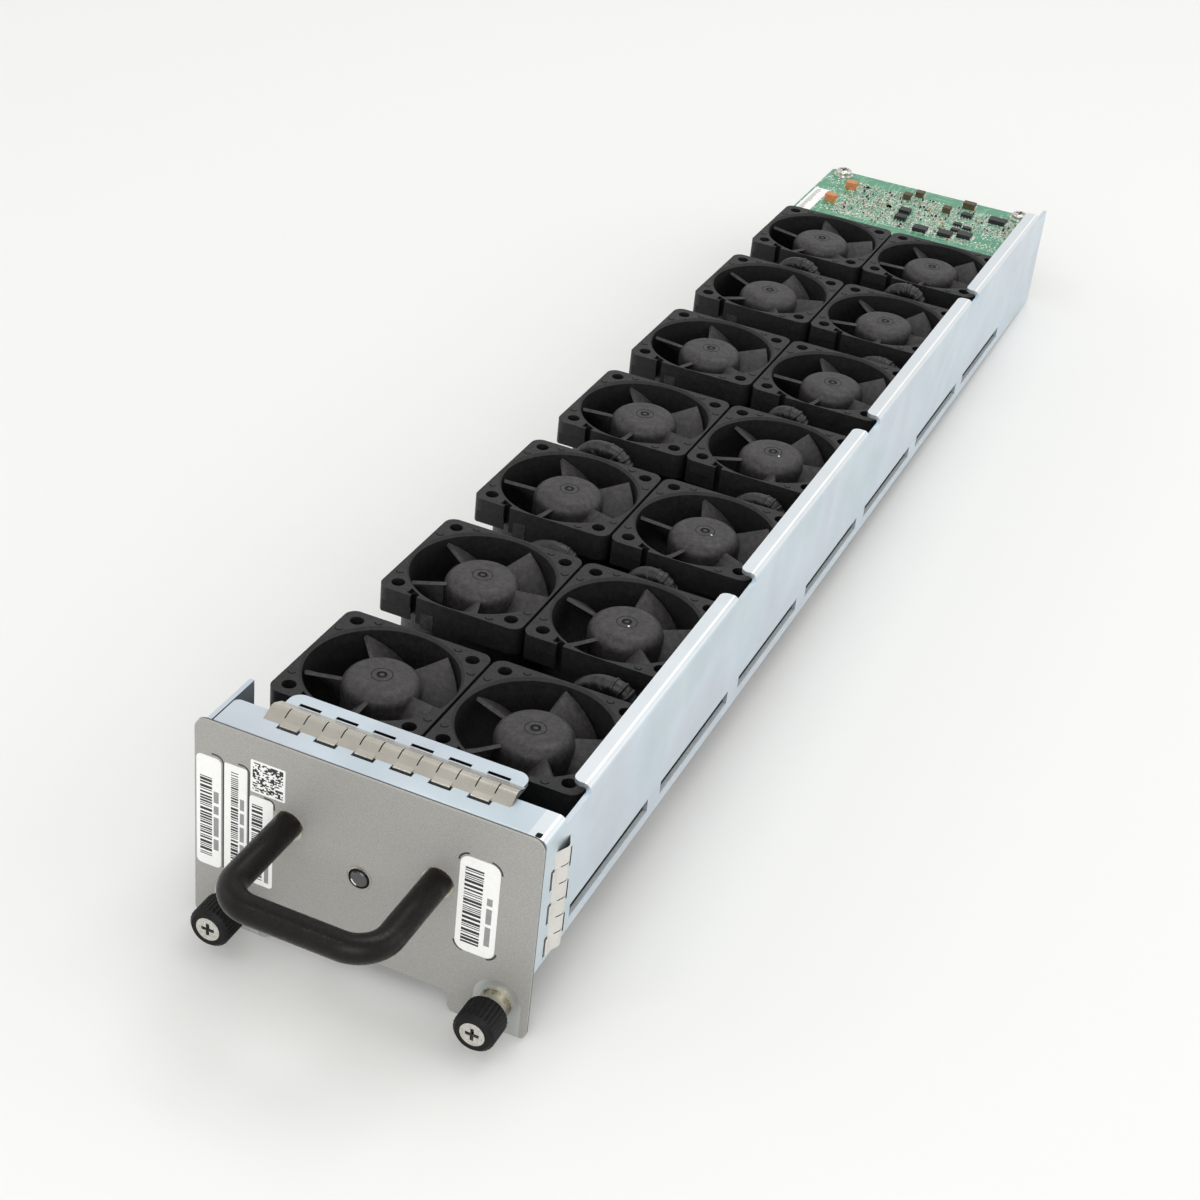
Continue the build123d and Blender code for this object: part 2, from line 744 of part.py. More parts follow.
# Sleeved lead from a fan's wire notch, over a hump and down into its plug
def fan_lead(row, column):
    notch, rise, fall, face, middle = lead_spots(row, column)
    top = fan_top + lead_humps[row][column][2] - lead_diameter / 2
    end = deck_height + header_height + plug_height
    points = [Vector(notch, face, lead_start_height), Vector(notch, middle, lead_start_height),
              Vector(rise, middle, top), Vector(fall, middle, top), Vector(fall, middle, end)]
    radii = []
    for before, corner, after in zip(points, points[1:], points[2:]):
        shorter = min((corner - before).length, (after - corner).length)
        turn = (corner - before).get_angle(after - corner)
        radii.append(0.45 * shorter / math.tan(math.radians(turn / 2)))
    path = FilletPolyline(*points, radius=radii)
    section = Plane(origin=points[0], z_dir=points[1] - points[0]) * Circle(lead_diameter / 2)
    return sweep(section, path=path), radii, path.length


def lead_plug(row, column):
    notch, rise, fall, face, middle = lead_spots(row, column)
    bottom = deck_height + header_height
    return block(fall - plug_width / 2, fall + plug_width / 2, middle - plug_depth / 2,
                 middle + plug_depth / 2, bottom, bottom + plug_height)


def lead_header(row, column):
    notch, rise, fall, face, middle = lead_spots(row, column)
    return block(fall - header_width / 2, fall + header_width / 2, middle - header_depth / 2,
                 middle + header_depth / 2, deck_height, deck_height + header_height)


# Writes one piece, or a group of like pieces, shifted to the finished origin
def save(name, shape):
    pieces = shape if isinstance(shape, list) else [shape]
    solids = []
    for piece in pieces:
        solids += (to_origin * piece).solids()
    result = solids[0] if len(solids) == 1 else Compound(children=solids)
    result.label = name
    export_step(result, os.path.join("parts", name + ".step"))
    print(name, len(solids))


def main():
    os.makedirs("parts", exist_ok=True)
    frame = fan_frame()
    rotor = impeller()
    sleeve = bearing()
    coil = winding()
    screw = fan_screw()
    bearings, windings, screws, leads, plugs, headers = [], [], [], [], [], []
    for row in range(fan_rows):
        for column in range(fan_columns):
            x, y = fan_centre(row, column)
            name = ("left", "right")[column] + "_" + str(row + 1)
            place = Pos(x, y, deck_height)
            save("fan_frame_" + name, place * frame)
            save("fan_rotor_" + name, place * Rot(0, 0, rest_angles[row][column]) * rotor)
            bearings.append(place * sleeve)
            windings.append(place * coil)
            for sign in (-1, 1):
                offset = sign * fan_hole_pitch / 2
                screws.append(Pos(x + offset, y - offset, 0) * screw)
            lead, radii, length = fan_lead(row, column)
            print("lead", name, "length", round(length, 1), "radii", [round(r, 1) for r in radii])
            leads.append(lead)
            plugs.append(lead_plug(row, column))
            headers.append(lead_header(row, column))
    save("fan_bearings", bearings)
    save("fan_windings", windings)
    save("fan_screws", screws)
    save("fan_leads", leads)
    save("lead_plugs", plugs)
    save("lead_headers", headers)
    save("side_shell", side_shell())
    save("fan_deck", fan_deck())
    save("front_bracket", front_bracket())
    save("front_panel", front_panel())
    save("handle", handle())
    save("handle_screws", handle_screws())
    save("status_lamp", status_lamp())
    save("top_gasket", top_gasket_place() * finger_strip(top_fingers))
    save("side_gasket", side_gasket_place() * finger_strip(side_fingers))
    spots = {"left": thumbscrew_left, "right": thumbscrew_right}
    save("thumbscrew_ferrules", [facing_front(x, thumbscrew_height) * ferrule() for x in spots.values()])
    for side, x in spots.items():
        place = facing_front(x, thumbscrew_height)
        save("thumbscrew_knob_" + side, place * knob())
        save("captive_screw_" + side, place * captive_screw())
        save("retaining_clip_" + side, place * retaining_clip())
        save("thumbscrew_spring_" + side, place * spring())
    save("control_board", control_board())
    save("board_standoffs", board_standoffs())
    save("board_screws", board_screws() + board_washers())
    save("board_chips", board_blocks(chip_places))
    save("board_capacitors", board_blocks(capacitor_places))
    save("board_chokes", board_blocks(choke_places))
    save("rear_connector", rear_connector())
    save("connector_contacts", connector_contacts())


if __name__ == "__main__":
    main()
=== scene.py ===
import json
import math
import random

import bmesh
import bpy
from mathutils import Matrix, Vector


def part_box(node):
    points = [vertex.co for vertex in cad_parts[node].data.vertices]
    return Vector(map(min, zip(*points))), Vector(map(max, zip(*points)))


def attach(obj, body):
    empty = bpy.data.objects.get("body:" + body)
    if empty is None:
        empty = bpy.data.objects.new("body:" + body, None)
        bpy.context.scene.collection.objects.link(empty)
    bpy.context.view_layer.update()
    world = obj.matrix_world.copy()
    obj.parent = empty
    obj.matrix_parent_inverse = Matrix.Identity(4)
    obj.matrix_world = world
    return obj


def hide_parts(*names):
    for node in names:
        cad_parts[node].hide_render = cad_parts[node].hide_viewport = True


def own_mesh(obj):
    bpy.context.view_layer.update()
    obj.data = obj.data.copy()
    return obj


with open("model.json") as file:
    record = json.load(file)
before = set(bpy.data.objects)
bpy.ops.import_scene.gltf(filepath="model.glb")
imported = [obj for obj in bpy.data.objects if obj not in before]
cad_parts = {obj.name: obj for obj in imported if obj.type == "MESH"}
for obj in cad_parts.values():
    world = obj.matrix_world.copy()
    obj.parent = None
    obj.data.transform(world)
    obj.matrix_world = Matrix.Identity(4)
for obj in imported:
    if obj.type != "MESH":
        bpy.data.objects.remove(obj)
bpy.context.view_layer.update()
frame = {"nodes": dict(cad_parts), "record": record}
nodes = frame["nodes"]
mm = 0.001
panelLow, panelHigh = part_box("front_panel")
earDrop = 17.8  # from the tray's underside down to the foot of the panel's ears
sides = ("left", "right")
rows = range(1, 8)
screws = {"left": -32.4, "right": 35.9, "z": -9.5}  # middles of the thumbscrews on the panel
lampSpot = (-0.3, 10.8)  # middle of the status lamp: to the right, and up
outward = (0, -1, 0)  # out of the panel's face
print("frame loaded:", len(nodes), "nodes")


# a point in the frame, from millimetres: right of the panel's middle, behind its face, above the tray's underside
def spot(x, y, z):
    middle = (panelLow.x + panelHigh.x) / 2
    return Vector((middle + x * mm, panelLow.y + y * mm, panelLow.z + (earDrop + z) * mm))


# nodes of the materials and the room

# sRGB hex, as a colour picker shows it, to the linear colour that Blender mixes
def hexColour(text):
    parts = [int(text[at:at + 2], 16) / 255 for at in (1, 3, 5)]
    return tuple(part / 12.92 if part <= 0.04045 else ((part + 0.055) / 1.055) ** 2.4 for part in parts) + (1.0,)


# adds a node: settings are its own options or its sockets by name or number, links feed sockets from a node or
# a socket, and stops colour a ramp
def addNode(tree, kind, settings=None, links=None):
    made = tree.nodes.new("ShaderNode" + kind)
    for key, value in (settings or {}).items():
        if key == "stops":
            elements = made.color_ramp.elements
            while len(elements) < len(value):
                elements.new(0.5)
            for element, (at, tone) in zip(elements, value):
                element.position = at
                element.color = hexColour(tone)
        elif isinstance(key, int) or key in made.inputs:
            made.inputs[key].default_value = hexColour(value) if isinstance(value, str) else value
        else:
            setattr(made, key, value)
    for key, source in (links or {}).items():
        tree.links.new(source.outputs[0] if hasattr(source, "outputs") else source, made.inputs[key])
    return made


# how often a pattern repeats in a metre, from its size in millimetres
def every(size):
    return 1 / (size * mm)


# a new material with its plain values set: material, nodes, shader and the place on the object
def startMaterial(name, settings):
    material = bpy.data.materials.new(name)
    material.use_nodes = True
    tree = material.node_tree
    shader = tree.nodes["Principled BSDF"]
    for key, value in settings.items():
        shader.inputs[key].default_value = hexColour(value) if isinstance(value, str) else value
    return material, tree, shader, addNode(tree, "TexCoord").outputs["Object"]


# camera as fitted to the photo: place in metres, turns in degrees, lens and film in millimetres
view = {
    "place": (0.17709, -0.53849, 0.34952),
    "azimuth": 20.84,
    "elevation": 32.42,
    "roll": 6.45,
    "lens": 65.5,
    "film": 36,
    "clip": (0.01, 50),
}


def setCamera():
    azimuth, elevation, roll = (math.radians(view[key]) for key in ("azimuth", "elevation", "roll"))
    level = math.cos(elevation)
    back = Vector((math.sin(azimuth) * level, -math.cos(azimuth) * level, math.sin(elevation)))
    across = Vector((0, 0, 1)).cross(back).normalized()
    up = back.cross(across)
    right = across * math.cos(roll) + up * math.sin(roll)
    top = up * math.cos(roll) - across * math.sin(roll)
    data = bpy.data.cameras.new("photoCamera")
    data.lens = view["lens"]
    data.sensor_width = view["film"]
    data.clip_start, data.clip_end = view["clip"]
    camera = bpy.data.objects.new("photoCamera", data)
    bpy.context.scene.collection.objects.link(camera)
    turned = Matrix((right, top, back)).transposed().to_4x4()
    camera.matrix_world = Matrix.Translation(view["place"]) @ turned
    bpy.context.scene.camera = camera


light = {
    "sky": 0.92,  # strength of the white room on the object, at the horizon
    "zenith": 0.72,  # and overhead, as a share of that
    "rise": 0.1,  # how steeply a direction points before the room dims
    "backdrop": "#F7F7F6",
    # name, place, aim, size, watts
    "lamps": [
        ("overhead", (0.15, 0.5, 1.6), (0, 0, 0), (1.0, 0.8), 7.8),
        ("windowSide", (-1.5, -0.7, 0.9), (0, -0.05, 0), (1.2, 1.0), 2),
        ("glint", (-0.55, -1.0, 1.5), (0, -0.15, 0), (0.22, 0.22), 1.2),
        ("frontFill", (0.35, -1.5, 0.8), (0, -0.1, 0), (1.4, 1.0), 9),
        ("rightWall", (1.5, 0.5, 0.8), (0, 0.05, 0), (1.6, 1.2), 5),
    ],
}


# the backdrop is as bright as it is drawn, while the room lights the object a little less
def setRoom():
    world = bpy.data.worlds.new("whiteRoom")
    bpy.context.scene.world = world
    world.use_nodes = True
    tree = world.node_tree
    background = tree.nodes["Background"]
    path = addNode(tree, "LightPath")
    seen = addNode(tree, "Math", {"operation": "MAXIMUM"},
                   {0: path.outputs["Is Camera Ray"], 1: path.outputs["Is Glossy Ray"]})
    seen = addNode(tree, "Math", {"operation": "MAXIMUM"}, {0: seen, 1: path.outputs["Is Transmission Ray"]})
    way = addNode(tree, "SeparateXYZ", {}, {"Vector": addNode(tree, "TexCoord").outputs["Generated"]})
    above = addNode(tree, "MapRange", {"From Min": light["rise"], "To Min": 1.0, "To Max": light["zenith"]},
                    {"Value": way.outputs["Z"]})
    room = addNode(tree, "MapRange", {"To Min": light["sky"], "To Max": 1.0}, {"Value": seen})
    strength = addNode(tree, "Math", {"operation": "MULTIPLY"}, {0: above, 1: room})
    background.inputs["Color"].default_value = hexColour(light["backdrop"])
    tree.links.new(strength.outputs[0], background.inputs["Strength"])


def addLamp(name, place, aim, size, watts):
    data = bpy.data.lights.new(name, "AREA")
    data.shape = "RECTANGLE"
    data.size, data.size_y = size
    data.energy = watts
    lamp = bpy.data.objects.new(name, data)
    lamp.location = place
    lamp.rotation_euler = (Vector(aim) - Vector(place)).to_track_quat("-Z", "Y").to_euler()
    bpy.context.scene.collection.objects.link(lamp)


# matt paper sweep, soft white with hardly a sheen
paper = {
    "colour": "#E9E9E7", "rough": 0.75, "sheen": 0.2,
    "half": 1.4,  # half its side, in metres
    "tilt": 2.38,  # the tray stands on its ears and its rear edge, so the floor leans in its frame
    "gap": 0.00005,
}


def makeFloor():
    settings = {"Base Color": paper["colour"], "Roughness": paper["rough"], "Specular IOR Level": paper["sheen"]}
    material = startMaterial("mattPaperSweep", settings)[0]
    tilt = math.radians(paper["tilt"])
    bm = bmesh.new()
    bmesh.ops.create_grid(bm, x_segments=1, y_segments=1, size=paper["half"])
    bmesh.ops.rotate(bm, verts=bm.verts, cent=(0, 0, 0), matrix=Matrix.Rotation(tilt, 3, "X"))
    lift = panelLow.z - panelLow.y * math.tan(tilt)
    bmesh.ops.translate(bm, verts=bm.verts, vec=(0, 0, lift - paper["gap"]))
    mesh = bpy.data.meshes.new("floor")
    bm.to_mesh(mesh)
    bm.free()
    mesh.materials.append(material)
    floor = bpy.data.objects.new("floor", mesh)
    bpy.context.scene.collection.objects.link(floor)


bpy.context.scene.view_settings.view_transform = "Standard"
setCamera()
setRoom()
makeFloor()
for row in light["lamps"]:
    addLamp(*row)
print("camera, room and lamps set")


# materials: sizes of their patterns are in millimetres, relief is a strength and a height in metres

# clear-passivated zinc on cold-rolled steel: milky blue-white, faint rolling lines, pale colour clouds,
# dull patches; painted highlight: the wall's flange drawn whiter, with a painted white highlight line where that
# bends
zinc = {
    "pale": "#D1DCE4", "deep": "#C2CED8", "warm": "#CED2DA", "green": "#C8D5DA",
    "cloud": 22, "drift": 45, "line": 0.35, "patch": 7,
    "tint": 0.45, "metal": 0.85, "gloss": (0.3, 0.48), "relief": (0.25, 0.00003),
    "rolled": (1, 0.02, 1),  # rolling lines run with the sheet
    # painted highlight: a whiter flange, and a white line along its bend
    "flange": "#EBEEF0", "flangeShare": 0.6, "flangeEdge": 38.87, "flangeTop": 38.2,
    "bend": "#FFFFFF", "bendLine": (42.0, 42.55),
}


def makeZinc():
    material, tree, shader, where = startMaterial("zincPlatedSteelRolled", {"Metallic": zinc["metal"]})
    cloud = addNode(tree, "TexNoise", {"Scale": every(zinc["cloud"]), "Detail": 3.0}, {"Vector": where})
    base = addNode(tree, "ValToRGB", {"stops": [(0.35, zinc["deep"]), (0.65, zinc["pale"])]}, {"Fac": cloud})
    drift = addNode(tree, "TexNoise", {"Scale": every(zinc["drift"]), "Detail": 1.0, "Distortion": 0.6},
                    {"Vector": where})
    tones = [(0.38, zinc["green"]), (0.5, zinc["pale"]), (0.62, zinc["warm"])]
    tint = addNode(tree, "ValToRGB", {"stops": tones}, {"Fac": drift})
    mixed = addNode(tree, "Mix", {"data_type": "RGBA", 0: zinc["tint"]}, {6: base, 7: tint})
    place = addNode(tree, "SeparateXYZ", {}, {"Vector": where})
    # painted highlight: the flange drawn whiter, and a white line where it bends
    edge = spot(zinc["flangeEdge"], 0, zinc["flangeTop"])
    high = addNode(tree, "Math", {"operation": "GREATER_THAN", 1: edge.z}, {0: place.outputs["Z"]})
    right = addNode(tree, "Math", {"operation": "GREATER_THAN", 1: edge.x}, {0: place.outputs["X"]})
    flange = addNode(tree, "Math", {"operation": "MULTIPLY"}, {0: high, 1: right})
    start, end = (spot(x, 0, 0).x for x in zinc["bendLine"])
    past = addNode(tree, "Math", {"operation": "GREATER_THAN", 1: start}, {0: place.outputs["X"]})
    short = addNode(tree, "Math", {"operation": "LESS_THAN", 1: end}, {0: place.outputs["X"]})
    line = addNode(tree, "Math", {"operation": "MULTIPLY"}, {0: past, 1: short})
    bend = addNode(tree, "Math", {"operation": "MULTIPLY"}, {0: line, 1: flange})
    share = addNode(tree, "Math", {"operation": "MULTIPLY", 1: zinc["flangeShare"]}, {0: flange})
    whiter = addNode(tree, "Mix", {"data_type": "RGBA", 7: zinc["flange"]}, {0: share, 6: mixed.outputs[2]})
    full = addNode(tree, "Mix", {"data_type": "RGBA", 7: zinc["bend"]}, {0: bend, 6: whiter.outputs[2]})
    tree.links.new(full.outputs[2], shader.inputs["Base Color"])
    along = addNode(tree, "Mapping", {"Scale": zinc["rolled"]}, {"Vector": where})
    lines = addNode(tree, "TexNoise", {"Scale": every(zinc["line"]), "Detail": 2.0}, {"Vector": along})
    worn = addNode(tree, "TexNoise", {"Scale": every(zinc["patch"]), "Detail": 4.0}, {"Vector": where})
    rough = addNode(tree, "MapRange", {"To Min": zinc["gloss"][0], "To Max": zinc["gloss"][1]}, {"Value": worn})
    tree.links.new(rough.outputs[0], shader.inputs["Roughness"])
    strength, distance = zinc["relief"]
    bump = addNode(tree, "Bump", {"Strength": strength, "Distance": distance}, {"Height": lines})
    tree.links.new(bump.outputs[0], shader.inputs["Normal"])
    return material


# silver-grey wet paint on steel: fine metal flake, orange peel, a few specks, bare zinc where the screws bed, and
# painted shade on the panel's rear half
paint = {
    "flake": "#A3A29E", "dark": "#9A9995", "light": "#ACABA7", "bare": "#C9CCCB",
    "grain": 0.3, "peel": 0.7, "patch": 11, "gloss": (0.42, 0.56), "relief": (0.2, 0.00005),
    "specks": 7, "speck": (0.02, 0.035), "dirt": 0.45,
    "bareRadius": 6.0, "metal": (0.25, 0.9),  # metallic under the paint's flake, and where it is bare
    # painted shade: the panel's rear half drawn dark, where it lies in the gap to the bracket
    "paintedGapShade": 0.62, "shade": "#4A4947",  # the panel's rear half, dark in the gap to the bracket
}


# 1 in the bare bed of a thumbscrew: round above its middle, with straight sides below
def addBareBed(tree, place, side):
    centre = spot(screws[side], 0, screws["z"])
    sideways = addNode(tree, "Math", {"operation": "SUBTRACT", 1: centre.x}, {0: place.outputs["X"]})
    rise = addNode(tree, "Math", {"operation": "SUBTRACT", 1: centre.z}, {0: place.outputs["Z"]})
    above = addNode(tree, "Math", {"operation": "MAXIMUM", 1: 0.0}, {0: rise})
    across = addNode(tree, "Math", {"operation": "MULTIPLY"}, {0: sideways, 1: sideways})
    upward = addNode(tree, "Math", {"operation": "MULTIPLY"}, {0: above, 1: above})
    square = addNode(tree, "Math", {"operation": "ADD"}, {0: across, 1: upward})
    limit = (paint["bareRadius"] * mm) ** 2
    return addNode(tree, "Math", {"operation": "LESS_THAN", 1: limit}, {0: square})


def makePaint():
    material, tree, shader, where = startMaterial("silverGreyPaintSprayed", {})
    grain = addNode(tree, "TexNoise", {"Scale": every(paint["grain"]), "Detail": 2.0}, {"Vector": where})
    tones = [(0.36, paint["dark"]), (0.5, paint["flake"]), (0.66, paint["light"])]
    base = addNode(tree, "ValToRGB", {"stops": tones}, {"Fac": grain})
    place = addNode(tree, "SeparateXYZ", {}, {"Vector": where})
    left, right = (addBareBed(tree, place, side) for side in sides)
    bare = addNode(tree, "Math", {"operation": "MAXIMUM"}, {0: left, 1: right})
    specks = addNode(tree, "TexVoronoi", {"Scale": every(paint["specks"]), "Randomness": 1.0}, {"Vector": where})
    near, far = paint["speck"]
    dirt = addNode(tree, "MapRange", {"From Min": near, "From Max": far, "To Min": paint["dirt"], "To Max": 1.0},
                   {"Value": specks})
    dull = addNode(tree, "Mix", {"data_type": "RGBA", "blend_type": "MULTIPLY", 0: 1.0}, {6: base, 7: dirt})
    worn = addNode(tree, "Mix", {"data_type": "RGBA", 7: paint["bare"]}, {0: bare, 6: dull.outputs[2]})
    low, high = paint["metal"]
    metal = addNode(tree, "MapRange", {"To Min": low, "To Max": high}, {"Value": bare})
    tree.links.new(metal.outputs[0], shader.inputs["Metallic"])
    # painted shade over the panel's rear half
    edge = spot(0, paint["paintedGapShade"], 0).y
    paintedGapShade = addNode(tree, "Math", {"operation": "GREATER_THAN", 1: edge}, {0: place.outputs["Y"]})
    shaded = addNode(tree, "Mix", {"data_type": "RGBA", 7: paint["shade"]}, {0: paintedGapShade, 6: worn.outputs[2]})
    tree.links.new(shaded.outputs[2], shader.inputs["Base Color"])
    patchy = addNode(tree, "TexNoise", {"Scale": every(paint["patch"]), "Detail": 3.0}, {"Vector": where})
    low, high = paint["gloss"]
    rough = addNode(tree, "MapRange", {"To Min": low, "To Max": high}, {"Value": patchy})
    tree.links.new(rough.outputs[0], shader.inputs["Roughness"])
    peel = addNode(tree, "TexNoise", {"Scale": every(paint["peel"]), "Detail": 1.0}, {"Vector": where})
    strength, distance = paint["relief"]
    bump = addNode(tree, "Bump", {"Strength": strength, "Distance": distance}, {"Height": peel})
    tree.links.new(bump.outputs[0], shader.inputs["Normal"])
    return material


coarser = 3  # patches of tone are this much wider than the grain of the gloss
fineRelief = 0.00004


# a plain surface with two tones in its grain, uneven gloss and a fine relief, for the smaller finishes
def makeGrained(name, dark, pale, grain, gloss, relief, settings, stretch=(1, 1, 1)):
    material, tree, shader, where = startMaterial(name, settings)
    turned = addNode(tree, "Mapping", {"Scale": stretch}, {"Vector": where})
    tones = addNode(tree, "TexNoise", {"Scale": every(grain * coarser), "Detail": 6.0, "Roughness": 0.75},
                    {"Vector": turned})
    base = addNode(tree, "ValToRGB", {"stops": [(0.35, dark), (0.65, pale)]}, {"Fac": tones})
    tree.links.new(base.outputs[0], shader.inputs["Base Color"])
    fine = addNode(tree, "TexNoise", {"Scale": every(grain), "Detail": 2.0}, {"Vector": turned})
    rough = addNode(tree, "MapRange", {"From Min": 0.3, "From Max": 0.7, "To Min": gloss[0], "To Max": gloss[1]},
                    {"Value": fine})
    tree.links.new(rough.outputs[0], shader.inputs["Roughness"])
    bump = addNode(tree, "Bump", {"Strength": relief, "Distance": fineRelief}, {"Height": fine})
    tree.links.new(bump.outputs[0], shader.inputs["Normal"])
    return material


# braided polyester sleeve: two sets of diagonal threads, half a millimetre apart
braid = {"dark": "#060606", "pale": "#1E1E20", "wave": 6.0, "slant": 0.8, "tip": 0.3, "relief": (0.6, 0.0001)}


def makeSleeve():
    material, tree, shader, where = startMaterial("polyesterSleeveBraided", {"Roughness": 0.45})
    heights = []
    for turn in (braid["slant"], -braid["slant"]):
        turned = addNode(tree, "Mapping", {"Rotation": (braid["tip"], turn, turn)}, {"Vector": where})
        wave = addNode(tree, "TexWave", {"Scale": every(braid["wave"]), "Distortion": 0.3}, {"Vector": turned})
        heights.append(wave.outputs["Fac"])
    weave = addNode(tree, "Math", {"operation": "MAXIMUM"}, {0: heights[0], 1: heights[1]})
    base = addNode(tree, "ValToRGB", {"stops": [(0.3, braid["dark"]), (0.9, braid["pale"])]}, {"Fac": weave})
    tree.links.new(base.outputs[0], shader.inputs["Base Color"])
    strength, distance = braid["relief"]
    bump = addNode(tree, "Bump", {"Strength": strength, "Distance": distance}, {"Height": weave})
    tree.links.new(bump.outputs[0], shader.inputs["Normal"])
    return material


# green solder mask over copper: paler tracks that run square to the edges, tiny pads, a wet gloss
board = {
    "mask": "#438B6A", "track": "#83B99A", "pad": "#EEF0E2", "relief": (0.5, 0.00004),
    "tracks": 1.1, "runs": ((1, 0.12, 1), (0.16, 1, 1)), "trackWidth": (0.28, 0.32), "faint": 0.55,
    "region": 9,  # patches in which the tracks run one way
    "via": 1.1, "viaWidth": (0.26, 0.34), "crowd": 5, "crowded": 0.44,
    "field": (391.5, 426.0),  # pads lie between these, so that the board's edges stay plain
}


def makeSolderMask():
    material, tree, shader, where = startMaterial("glassEpoxyBoardSolderMasked", {"Roughness": 0.28, "IOR": 1.5})
    masks = []
    near, far = board["trackWidth"]
    for run in board["runs"]:
        turned = addNode(tree, "Mapping", {"Scale": run}, {"Vector": where})
        cells = addNode(tree, "TexVoronoi", {"distance": "CHEBYCHEV", "Scale": every(board["tracks"])},
                        {"Vector": turned})
        masks.append(addNode(tree, "MapRange", {"From Min": near, "From Max": far, "To Min": 1.0, "To Max": 0.0},
                             {"Value": cells}))
    region = addNode(tree, "TexNoise", {"Scale": every(board["region"]), "Detail": 1.0}, {"Vector": where})
    pick = addNode(tree, "Math", {"operation": "GREATER_THAN", 1: 0.5}, {0: region})
    tracks = addNode(tree, "Mix", {"data_type": "FLOAT"}, {0: pick, 2: masks[0], 3: masks[1]})
    faint = addNode(tree, "Math", {"operation": "MULTIPLY", 1: board["faint"]}, {0: tracks.outputs[0]})
    base = addNode(tree, "Mix", {"data_type": "RGBA", 6: board["mask"], 7: board["track"]}, {0: faint})
    holes = addNode(tree, "TexVoronoi", {"Scale": every(board["via"])}, {"Vector": where})
    near, far = board["viaWidth"]
    via = addNode(tree, "MapRange", {"From Min": near, "From Max": far, "To Min": 1.0, "To Max": 0.0},
                  {"Value": holes})
    crowd = addNode(tree, "TexNoise", {"Scale": every(board["crowd"]), "Detail": 2.0}, {"Vector": where})
    dense = addNode(tree, "Math", {"operation": "GREATER_THAN", 1: board["crowded"]}, {0: crowd})
    depth = addNode(tree, "SeparateXYZ", {}, {"Vector": where})
    front, rear = (spot(0, y, 0).y for y in board["field"])
    behind = addNode(tree, "Math", {"operation": "GREATER_THAN", 1: front}, {0: depth.outputs["Y"]})
    before = addNode(tree, "Math", {"operation": "LESS_THAN", 1: rear}, {0: depth.outputs["Y"]})
    inside = addNode(tree, "Math", {"operation": "MULTIPLY"}, {0: behind, 1: before})
    crowded = addNode(tree, "Math", {"operation": "MULTIPLY"}, {0: dense, 1: inside})
    shown = addNode(tree, "Math", {"operation": "MULTIPLY"}, {0: via, 1: crowded})
    full = addNode(tree, "Mix", {"data_type": "RGBA", 7: board["pad"]}, {0: shown, 6: base.outputs[2]})
    tree.links.new(full.outputs[2], shader.inputs["Base Color"])
    strength, distance = board["relief"]
    bump = addNode(tree, "Bump", {"Strength": strength, "Distance": distance}, {"Height": tracks.outputs[0]})
    tree.links.new(bump.outputs[0], shader.inputs["Normal"])
    return material


metal = {"Metallic": 1.0}

